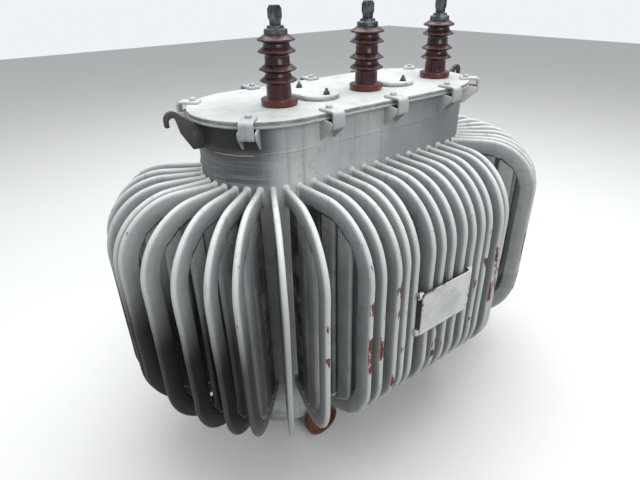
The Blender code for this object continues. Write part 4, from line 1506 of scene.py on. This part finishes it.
@dataclass
class LidClamp:
    """One bent bar that grips the lid and hooks under its bracket, with its bolt."""

    layout: Layout
    finishes: Finishes
    width: float = 0.042
    thickness: float = 0.008
    bend: float = 0.014
    corner: float = 0.010
    reach: float = 0.060
    top_length: float = 0.072
    lip_length: float = 0.047
    drop: float = 0.046
    cheek_reach: float = 0.056
    cheek_height: float = 0.064
    cheek_thickness: float = 0.005
    cheek_play: float = 0.001
    web_reach: float = 0.040
    bolt_across: float = 0.018
    bolt_height: float = 0.007
    bolt_back: float = 0.050
    washer_radius: float = 0.0115
    washer_height: float = 0.0016

    def build(self, number: int, place: Matrix) -> None:
        """Build the clamp, its bolt and its bracket.

        Args:
            number: The clamp's number in the frame.
            place: Its frame, with X outward.
        """
        node = f"lid_clamp_{number:02d}"
        piece = begin(f"{node}_bar", self.bar(), place)
        piece.wobble(40.0, 0.0007, number)
        piece.done(self.finishes.fittings, Slot.GREY_PAINT, [node], 45.0)

        top = self.layout.lid_top + SEAT + self.thickness
        seat = Matrix.Translation((self.layout.radius + self.reach - self.bolt_back, 0, top))
        seat = place @ seat @ Matrix.Rotation(number * 0.7, 4, "Z")
        rise = self.washer_height
        piece = begin(f"{node}_bolt", washer(self.washer_radius, rise), seat)
        piece.add(hexagon(self.bolt_across, self.bolt_height), seat @ Matrix.Translation((0, 0, rise)))
        piece.done(self.finishes.fittings, Slot.GREY_PAINT, smooth=30.0)
        self.bracket(number, place)

    def bar(self) -> Workpiece:
        """Sweep the flat bar: over the lid, down, and back in under the web."""
        lay = self.layout
        face = lay.radius + self.reach
        top = lay.lid_top + SEAT + self.thickness
        low = lay.lid_top - self.drop
        across = Vector((0, 1, 0))
        stand = Matrix.Rotation(-QUARTER, 4, "Y")
        part = Workpiece()
        place = Matrix.Translation((face - self.top_length, 0, top - self.thickness / 2)) @ stand
        ring = part.rectangle(self.thickness, self.width, place)
        part.cap(ring)
        ring = part.extend(ring, Vector((self.top_length - self.bend, 0, 0)), 2)
        ring = part.bend(ring, Vector((face - self.bend, 0, top - self.bend)), across, QUARTER, 5)
        ring = part.extend(ring, Vector((0, 0, low + self.corner - (top - self.bend))), 2)
        ring = part.bend(ring, Vector((face - self.corner, 0, low + self.corner)), across, QUARTER, 4)
        ring = part.extend(ring, Vector((self.corner - self.lip_length, 0, 0)))
        part.cap(ring)
        bmesh.ops.recalc_face_normals(part.bm, faces=part.bm.faces)
        part.soften(0.0018, 2, 50.0)
        return part

    def bracket(self, number: int, place: Matrix) -> None:
        """Build the two cheeks and the web under the rim.

        Args:
            number: The clamp's number.
            place: The clamp's frame.
        """
        lay = self.layout
        root = lay.radius - WELD_BITE
        top = lay.rim_low + 0.002
        low = lay.rim_low - self.cheek_height + 0.004
        tip = lay.radius + self.cheek_reach
        lip = lay.lid_top - self.drop + self.thickness
        corners = [
            (root, low, 0), (root + 0.010, low, 0.004), (tip - 0.004, lip - 0.004, 0.014),
            (tip, top - 0.004, 0.010), (lay.rim_radius - 0.002, top, 0), (root, top, 0),
        ]
        upright = place @ Matrix.Rotation(QUARTER, 4, "X")
        piece = Workpiece(f"clamp_bracket_{number:02d}")
        inner = self.width / 2 + self.cheek_play
        for side in (-1, 1):
            near, far = sorted((side * inner, side * (inner + self.cheek_thickness)))
            cheek = slab(rounded(corners, 5), near, far)
            cheek.soften(0.0010, 2, 50.0)
            piece.add(cheek, upright)
        base = lip + SEAT
        roof = base + self.cheek_thickness
        out = lay.radius + self.web_reach
        web = slab([(root, base), (out, base), (out, roof), (root, roof)], -inner - 0.002, inner + 0.002)
        piece.add(web, upright)
        piece.done(self.finishes.fittings, Slot.GREY_PAINT, smooth=45.0)


@dataclass
class ClampRing:
    """All the clamps round the lid."""

    layout: Layout
    finishes: Finishes
    pitch: float = 0.260
    shift: float = 0.031
    a_side: int = 3
    front_angle: float = math.radians(49)
    rear_angle: float = math.radians(40)

    def places(self) -> list[Matrix]:
        """Return the frames of the clamps in the order of their nodes."""
        lay = self.layout
        middle = (self.a_side - 1) / 2
        places = [
            lay.outward((number - middle) * self.pitch + self.shift, QUARTER * side)
            for side in (-1, 1)
            for number in range(self.a_side)
        ]
        for end, heading in ((-1, math.pi), (1, 0.0)):
            for turn in (-1, 1):
                angle = self.front_angle if end * turn < 0 else self.rear_angle
                places.append(lay.outward(end * lay.half_straight, heading + turn * angle))
        return places

    def build(self) -> None:
        """Build every clamp."""
        for number, place in enumerate(self.places(), start=1):
            LidClamp(self.layout, self.finishes).build(number, place)


@dataclass
class Bushing:
    """One porcelain bushing with its cap and terminal."""

    finishes: Finishes
    steps: int = 48
    body: float = 0.037
    shed: float = 0.057
    sheds: tuple[float, ...] = (0.072, 0.104, 0.153)
    crown: float = 0.185
    foot: float = 0.022
    lip: float = 0.119
    eye: Point = (0.0062, 0.0095)
    eye_drop: float = 0.0135

    def profile(self, height: float, cap: float) -> list[Point]:
        """Return the turned line of the glazed body.

        Args:
            height: The porcelain's height.
            cap: The radius under the cap.

        Returns:
            Points from the axis at the bottom to the axis at the top.
        """
        line = [(0, self.foot - 0.002, 0), (self.body + 0.003, self.foot - 0.002, 0)]
        line.append((self.body + 0.002, self.foot + 0.006, 0.003))
        for level in self.sheds:
            if level > self.lip > self.sheds[0]:
                line += [(self.body + 0.0004, self.lip - 0.002, 0), (self.body + 0.0022, self.lip, 0.001)]
                line.append((self.body + 0.0004, self.lip + 0.002, 0))
            line += [
                (self.body, level - 0.009, 0.004),
                (self.shed - 0.004, level - 0.0035, 0.003),
                (self.shed, level - 0.0005, 0.002),
                (self.shed - 0.0005, level + 0.0015, 0.001),
                (self.body + 0.0045, level + 0.012, 0.004),
            ]
        line += [
            (self.body, self.crown - 0.009, 0.004),
            (self.shed - 0.003, self.crown - 0.0035, 0.003),
            (self.shed, self.crown, 0.002),
            (self.shed - 0.0015, self.crown + 0.002, 0.001),
            (cap, height, 0),
            (0, height, 0),
        ]
        return rounded(line)

    def build(self, number: int) -> None:
        """Build the numbered bushing, its cap and its terminal on their nodes' places.

        Args:
            number: The bushing's number.
        """
        seat, (across, _, tall) = foot_of(f"bushing_{number}")
        cap_across = foot_of(f"bushing_cap_{number}")[1][0]
        glazed = lathe(self.profile(tall, cap_across / 2 - 0.001), self.steps)
        piece = begin(f"bushing_{number}_porcelain", glazed, seat)
        piece.wobble(30.0, 0.0005, number)
        piece.done(self.finishes.glaze, Slot.PORCELAIN, [f"bushing_{number}"], 50.0)

        wide = across / 2
        foot = rounded([
            (0, 0, 0), (wide - 0.003, 0, 0.001), (wide, 0.006, 0.004),
            (wide - 0.0005, self.foot - 0.002, 0.003), (self.body + 0.006, self.foot, 0.002),
            (self.body + 0.002, self.foot + 0.002, 0), (0, self.foot + 0.002, 0),
        ])
        piece = begin(f"bushing_{number}_foot", lathe(foot, self.steps), seat)
        piece.wobble(25.0, 0.0006, number + 5)
        piece.done(self.finishes.foot_glaze, Slot.PORCELAIN, smooth=50.0)
        self.cap(number)
        self.terminal(number)

    def cap(self, number: int) -> None:
        """Build the metal cap with its drooping lip and ring.

        Args:
            number: The bushing's number.
        """
        node = f"bushing_cap_{number}"
        seat, (across, _, tall) = foot_of(node)
        radius = across / 2
        line = rounded([
            (0, 0, 0), (radius - 0.004, 0, 0.001), (radius - 0.001, -0.002, 0.001), (radius, 0.002, 0.001),
            (radius - 0.0005, tall * 0.55, 0.003), (radius * 0.72, tall * 0.68, 0.003),
            (radius * 0.70, tall * 0.98, 0.002), (0, tall, 0),
        ])
        piece = begin(f"{node}_casting", lathe(line, 40), seat)
        piece.done(self.finishes.cap, Slot.TERMINAL_METAL, [node], 40.0)

    def terminal(self, number: int) -> None:
        """Build the connector: a neck and a head with a cross hole, ringed by its cast eye.

        Args:
            number: The bushing's number.
        """
        node = f"terminal_{number}"
        place, (across, depth, tall) = foot_of(node)
        half = across / 2
        deep = depth / 2
        neck = half * 0.72
        corners = [
            (-neck, 0, 0), (neck, 0, 0), (neck, tall * 0.22, 0.003), (half, tall * 0.38, 0.006),
            (half, tall * 0.80, 0.008), (half * 0.62, tall, 0.008), (-half * 0.62, tall, 0.008),
            (-half, tall * 0.80, 0.008), (-half, tall * 0.38, 0.006), (-neck, tall * 0.22, 0.003),
        ]
        upright = place @ Matrix.Rotation(QUARTER, 4, "X")
        block = slab(rounded(corners), -deep, deep)
        block.soften(0.0022, 3, 50.0)
        piece = begin(f"{node}_clamp", block, upright)
        reach = deep + 0.0001
        hole, rim = self.eye
        eye = lathe([(hole, -reach), (rim, -reach), (rim, reach), (hole, reach)], 24)
        piece.add(eye, upright @ Matrix.Translation((0, tall - self.eye_drop, 0)))
        piece.done(self.finishes.cap, Slot.TERMINAL_METAL, [node], 35.0)


@dataclass
class InspectionCover:
    """One oval cover with its two studs."""

    finishes: Finishes
    sides: int = 56
    stud_radius: float = 0.005
    stud_height: float = 0.021
    nut_across: float = 0.017
    nut_height: float = 0.009
    washer_radius: float = 0.012
    washer_height: float = 0.0015
    stud_back: float = 0.024

    def build(self, number: int) -> None:
        """Build the numbered cover, its gasket and its nuts.

        Args:
            number: The cover's number.
        """
        low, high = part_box(f"inspection_cover_{number}")
        seal_low, seal_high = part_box(f"cover_gasket_{number}")
        radius = (high.x - low.x) / 2
        straight = (high.y - low.y) / 2 - radius
        place = Matrix.Translation(((low.x + high.x) / 2, (low.y + high.y) / 2, 0))
        place = place @ Matrix.Rotation(QUARTER, 4, "Z")

        middle = (seal_low.z + seal_high.z) / 2
        steps = [(radius - 0.003, seal_low.z), (radius - 0.0025, middle), (radius - 0.003, seal_high.z)]
        piece = begin(f"cover_seal_{number}", stack(straight, steps, self.sides), place)
        piece.done(self.finishes.rubber, Slot.BLACK_RUBBER, [f"cover_gasket_{number}"])

        steps = [
            (radius - 0.001, low.z), (radius, low.z + 0.001), (radius, high.z - 0.003),
            (radius - 0.0012, high.z - 0.0008), (radius - 0.004, high.z), (radius - 0.03, high.z),
            (radius - 0.05, high.z),
        ]
        piece = begin(f"inspection_cover_{number}_plate", stack(straight, steps, self.sides), place)
        piece.wobble(14.0, 0.0006, number * 3)
        piece.done(self.finishes.lid, Slot.LID_PAINT, [f"inspection_cover_{number}"], 50.0)
        levels = (low.y + self.stud_back, high.y - self.stud_back)
        self.nuts(number, [Vector((place.translation.x, y, high.z)) for y in levels])

    def nuts(self, number: int, spots: Sequence[Vector]) -> None:
        """Build a washer, a nut and a stud on each spot.

        Args:
            number: The cover's number.
            spots: Where each stud stands on the cover.
        """
        piece = Workpiece(f"inspection_cover_{number}_nuts")
        rise = self.washer_height
        stud = [(0, 0, 0), (self.stud_radius, 0, 0), (self.stud_radius, self.stud_height - 0.003, 0.003)]
        stud.append((0, self.stud_height, 0))
        for spot in spots:
            seat = Matrix.Translation(spot)
            piece.add(washer(self.washer_radius, rise), seat)
            piece.add(hexagon(self.nut_across, self.nut_height), seat @ Matrix.Translation((0, 0, rise)))
            piece.add(lathe(rounded(stud, 3), 16), seat)
        piece.done(self.finishes.bolt, Slot.TERMINAL_METAL, smooth=30.0)


@dataclass
class LiftingHook:
    """The thick hook plate on an end of the tank."""

    layout: Layout
    finishes: Finishes
    thickness: float = 0.013
    crown: float = 0.085
    beak: float = 0.0235
    beak_drop: float = 0.0035
    throat: float = 0.011
    throat_drop: float = 0.010
    root_drop: float = 0.100
    tip_drop: float = 0.024
    back: tuple[Point, ...] = ((0.0, 0.0), (0.036, 0.001), (0.0665, 0.053))

    def outline(self) -> list[Point]:
        """Return the side view as (distance outward, height)."""
        lay = self.layout
        root = lay.radius - WELD_BITE
        crown = lay.radius + SEAT + self.crown
        foot = lay.lid_top - self.root_drop
        tip = lay.lid_top - self.tip_drop
        line = [(root + out, foot + up) for out, up in self.back]
        line += arc_points((crown, lay.lid_top - self.throat_drop), self.throat, 170, 0, 14)
        line += rounded([
            (crown + self.throat, tip + 0.004, 0), (crown + self.throat + 0.001, tip, 0.003),
            (crown + self.beak, tip, 0.004), (crown + self.beak, tip + 0.008, 0),
        ], 3)
        line += arc_points((crown, lay.lid_top - self.beak_drop), self.beak, 0, 140, 16)
        under_rim = lay.rim_low - SEAT
        line += [(lay.rim_radius + 0.0015, under_rim), (root, under_rim)]
        return line

    def build(self, name: str, end: int) -> None:
        """Build the hook on one end, -1 at the left and 1 at the right.

        Args:
            name: The CAD node that it stands for.
            end: -1 at the left and 1 at the right.
        """
        heading = 0.0 if end > 0 else math.pi
        place = self.layout.outward(end * self.layout.half_straight, heading)
        plate = slab(self.outline(), -self.thickness / 2, self.thickness / 2)
        plate.soften(0.0016, 2, 60.0)
        piece = begin(f"{name}_plate", plate, place @ Matrix.Rotation(QUARTER, 4, "X"))
        piece.done(self.finishes.hook, Slot.GREY_PAINT, [name], 40.0)


@dataclass
class Nameplate:
    """The bare plate on the front tubes, its folded backing, which is near-black as painted shade for the gap
    behind the plate, and the lugs that hold it.
    """

    finishes: Finishes
    shift: Vector = field(default_factory=lambda: Vector((0.002, 0, 0)))
    width: float = 0.230
    height: float = 0.154
    back_width: float = 0.224
    back_height: float = 0.124
    back_depth: float = 0.018
    fold: float = 0.003
    sheet: float = 0.003
    border: float = 0.012
    relief: float = 0.0012
    edge: float = 0.0012
    lug: float = 0.020
    lug_depth: float = 0.016
    lugs: tuple[Point, ...] = ((-0.1145, 0.0665), (-0.1145, -0.0735), (0.1150, 0.0700), (0.1120, -0.0700))

    def build(self) -> None:
        """Build the backing, the plate and its fixings."""
        low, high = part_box("nameplate_tray")
        centre = Vector(((low.x + high.x) / 2, high.y, (low.z + high.z) / 2)) + self.shift
        place = Matrix.Translation(centre) @ Matrix.Rotation(QUARTER, 4, "X")
        deep = self.back_depth
        fold = self.fold
        steps = [(fold, deep - fold), (fold, 0.0), (0.0, 0.0), (0.0, deep)]
        back = tray(self.back_width, self.back_height, steps)
        bmesh.ops.recalc_face_normals(back.bm, faces=back.bm.faces)
        back.soften(0.0009, 2, 60.0)
        # Near-black backing, painted shade for the gap behind the plate.
        piece = begin("nameplate_backing_shade", back, place)
        piece.done(self.finishes.tray, Slot.GREY_PAINT, ["nameplate_tray"], 40.0)

        base = deep + SEAT
        face = base + self.sheet
        field_level = face - self.relief
        steps = [
            (0.0, base), (0.0, face - 0.0008), (self.edge, face), (self.border - self.edge, face),
            (self.border, field_level), (0.030, field_level), (0.055, field_level),
        ]
        blank = tray(self.width, self.height, steps, 3)
        for vert in blank.bm.verts:
            if vert.co.x * vert.co.y > 0:
                vert[blank.masks[Mask.CREST]] *= 0.2
        blank.wobble(16.0, 0.0008, 4.0)
        piece = begin("nameplate_blank", blank, place)
        piece.done(self.finishes.plate, Slot.PLATE_ENAMEL, ["nameplate"], 25.0)

        piece = Workpiece("nameplate_lugs")
        reach = self.lug_depth
        steps = [(0.003, 0.0), (0.0, 0.003), (0.0, reach - 0.004), (0.002, reach - 0.001), (0.005, reach)]
        for u, v in self.lugs:
            pad = tray(self.lug, self.lug, steps, 5)
            pad.set_mask(pad.bm.verts, Mask.CREST, 0.8 if u > 0 else 0.45)
            pad.wobble(60.0, 0.0012, u * 40 + v)
            piece.add(pad, place @ Matrix.Translation((u, v, 0.0)))
        piece.done(self.finishes.plate, Slot.GREY_PAINT, smooth=60.0)


@dataclass
class Undercarriage:
    """The rollers under the two cross beams."""

    finishes: Finishes
    steps: int = 56
    rim: float = 0.012
    hub: float = 0.060
    recess: float = 0.014
    bore: float = 0.0145

    def build(self) -> None:
        """Build the four rollers and dress the beams."""
        for row, side in (("front", -1), ("rear", 1)):
            for end in ("left", "right"):
                self.roller(row, end, side)
        for end in ("left", "right"):
            node = bpy.data.objects[f"base_beam_{end}"]
            node.data.materials.clear()
            node.data.materials.append(self.finishes.base)

    def roller(self, row: str, end: str, side: int) -> None:
        """Build one roller with rounded edges, recessed outside.

        Args:
            row: front or rear.
            end: left or right.
            side: -1 at the front and 1 at the rear.
        """
        node = f"wheel_{row}_{end}"
        low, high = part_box(node)
        radius = (high.z - low.z) / 2
        wide = high.y - low.y
        face = wide - self.recess
        hub = self.hub / 2
        line = rounded([
            (self.bore, 0.0, 0), (radius - 0.001, 0.0, 0.003), (radius, 0.004, 0.003),
            (radius, wide - 0.002, 0.0015), (radius - 0.003, wide, 0.0015), (radius - self.rim, wide, 0.002),
            (radius - self.rim - 0.002, face, 0.004), (hub + 0.002, face, 0.004), (hub, wide, 0.002),
            (self.bore, wide, 0),
        ], 3)
        inner = Vector(((low.x + high.x) / 2, low.y if side > 0 else high.y, (low.z + high.z) / 2))
        place = Matrix.Translation(inner) @ Matrix.Rotation(-QUARTER * side, 4, "X")
        piece = begin(f"roller_{row}_{end}", lathe(line, self.steps), place)
        piece.wobble(60.0, 0.0007, inner.x * 9 + side)
        body = Body[f"{row}_{end}_wheel".upper()]
        piece.done(self.finishes.roller, Slot.RUSTY_IRON, [node], 40.0, body)


@dataclass
class Studio:
    """The camera, the lamps and the floor."""

    finishes: Finishes
    layout: Layout
    spot: Vector = field(default_factory=lambda: Vector((-1.0759, -1.3080, 1.5898)))
    yaw: float = math.radians(53.47)
    pitch: float = math.radians(28.64)
    roll: float = math.radians(1.2)
    lens: float = 26.46
    sensor: float = 36.0
    aim: Vector = field(default_factory=lambda: Vector((0, 0, 0.7)))
    air: Colour = (0.86, 0.89, 0.92)
    sky: float = 0.54
    floor_half: float = 14.0

    def camera(self) -> None:
        """Put the camera where the photograph was taken from."""
        east, north = math.cos(self.yaw), math.sin(self.yaw)
        flat = math.cos(self.pitch)
        ahead = Vector((east * flat, north * flat, -math.sin(self.pitch)))
        right = Vector((north, -east, 0))
        down = ahead.cross(right)
        across = right * math.cos(self.roll) + down * math.sin(self.roll)
        below = down * math.cos(self.roll) - right * math.sin(self.roll)
        data = bpy.data.cameras.new("photo_camera")
        data.lens = self.lens
        data.sensor_width = self.sensor
        data.clip_start = 0.01
        seen = bpy.data.objects.new("photo_camera", data)
        spot = self.spot + Vector((0, self.layout.axis_y, 0))
        turn = Matrix((across, -below, -ahead)).transposed().to_4x4()
        seen.matrix_world = Matrix.Translation(spot) @ turn
        bpy.context.scene.collection.objects.link(seen)
        bpy.context.scene.camera = seen

    def lamp(
        self, name: str, spot: tuple[float, float, float], size: float, power: float, colour: Colour
    ) -> None:
        """Hang one soft square lamp that faces the tank's middle.

        Args:
            name: Its name.
            spot: Where it hangs.
            size: The length of its side.
            power: Its power in watts.
            colour: Its colour.
        """
        data = bpy.data.lights.new(name, "AREA")
        data.shape = "SQUARE"
        data.size = size
        data.energy = power
        data.color = colour
        made = bpy.data.objects.new(name, data)
        made.location = spot
        made.rotation_euler = (self.aim - Vector(spot)).to_track_quat("-Z", "Y").to_euler()
        bpy.context.scene.collection.objects.link(made)

    def world(self) -> None:
        """Light the tank softly from all round, with white air behind it for the camera."""
        world = bpy.data.worlds.new("studio_air")
        world.use_nodes = True
        tree = world.node_tree
        air = tree.nodes["Background"]
        air.inputs["Color"].default_value = (*self.air, 1.0)
        seen = tree.nodes.new("ShaderNodeLightPath")
        level = tree.nodes.new("ShaderNodeMapRange")
        level.inputs["To Min"].default_value = self.sky
        level.inputs["To Max"].default_value = 1.0
        tree.links.new(seen.outputs["Is Camera Ray"], level.inputs["Value"])
        tree.links.new(level.outputs["Result"], air.inputs["Strength"])
        bpy.context.scene.world = world

    def floor(self) -> None:
        """Lay the floor."""
        mesh = bpy.data.meshes.new("studio_floor")
        bm = bmesh.new()
        bmesh.ops.create_grid(bm, x_segments=1, y_segments=1, size=self.floor_half)
        bm.to_mesh(mesh)
        bm.free()
        mesh.materials.append(self.finishes.floor)
        floor = bpy.data.objects.new("studio_floor", mesh)
        bpy.context.scene.collection.objects.link(floor)

    def build(self) -> None:
        """Build the studio."""
        bpy.context.scene.view_settings.view_transform = "Standard"
        self.camera()
        self.lamp("sky_lamp", (0.6, 0.4, 4.6), 5.0, 235.0, (0.97, 0.985, 1.0))
        self.lamp("front_lamp", (-1.0, -4.1, 2.9), 2.4, 62.0, (1.0, 0.995, 0.985))
        self.world()
        self.floor()


def main() -> None:
    """Dress the whole transformer."""
    logging.basicConfig(level=logging.INFO, format="%(name)s: %(message)s")
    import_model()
    layout = Layout.read()
    finishes = Finishes()
    noise.seed_set(SEED)
    dice = random.Random(SEED)
    CoolingFins(layout, finishes, dice).build()
    shell = TankShell(layout, finishes)
    shell.build()
    Lid(shell).build()
    ClampRing(layout, finishes).build()
    for number in (1, 2, 3):
        Bushing(finishes).build(number)
    for number in (1, 2):
        InspectionCover(finishes).build(number)
    for name, end in (("lifting_hook_left", -1), ("lifting_hook_right", 1)):
        LiftingHook(layout, finishes).build(name, end)
    Nameplate(finishes).build()
    Undercarriage(finishes).build()
    Studio(finishes, layout).build()


if __name__ == "__main__":
    main()
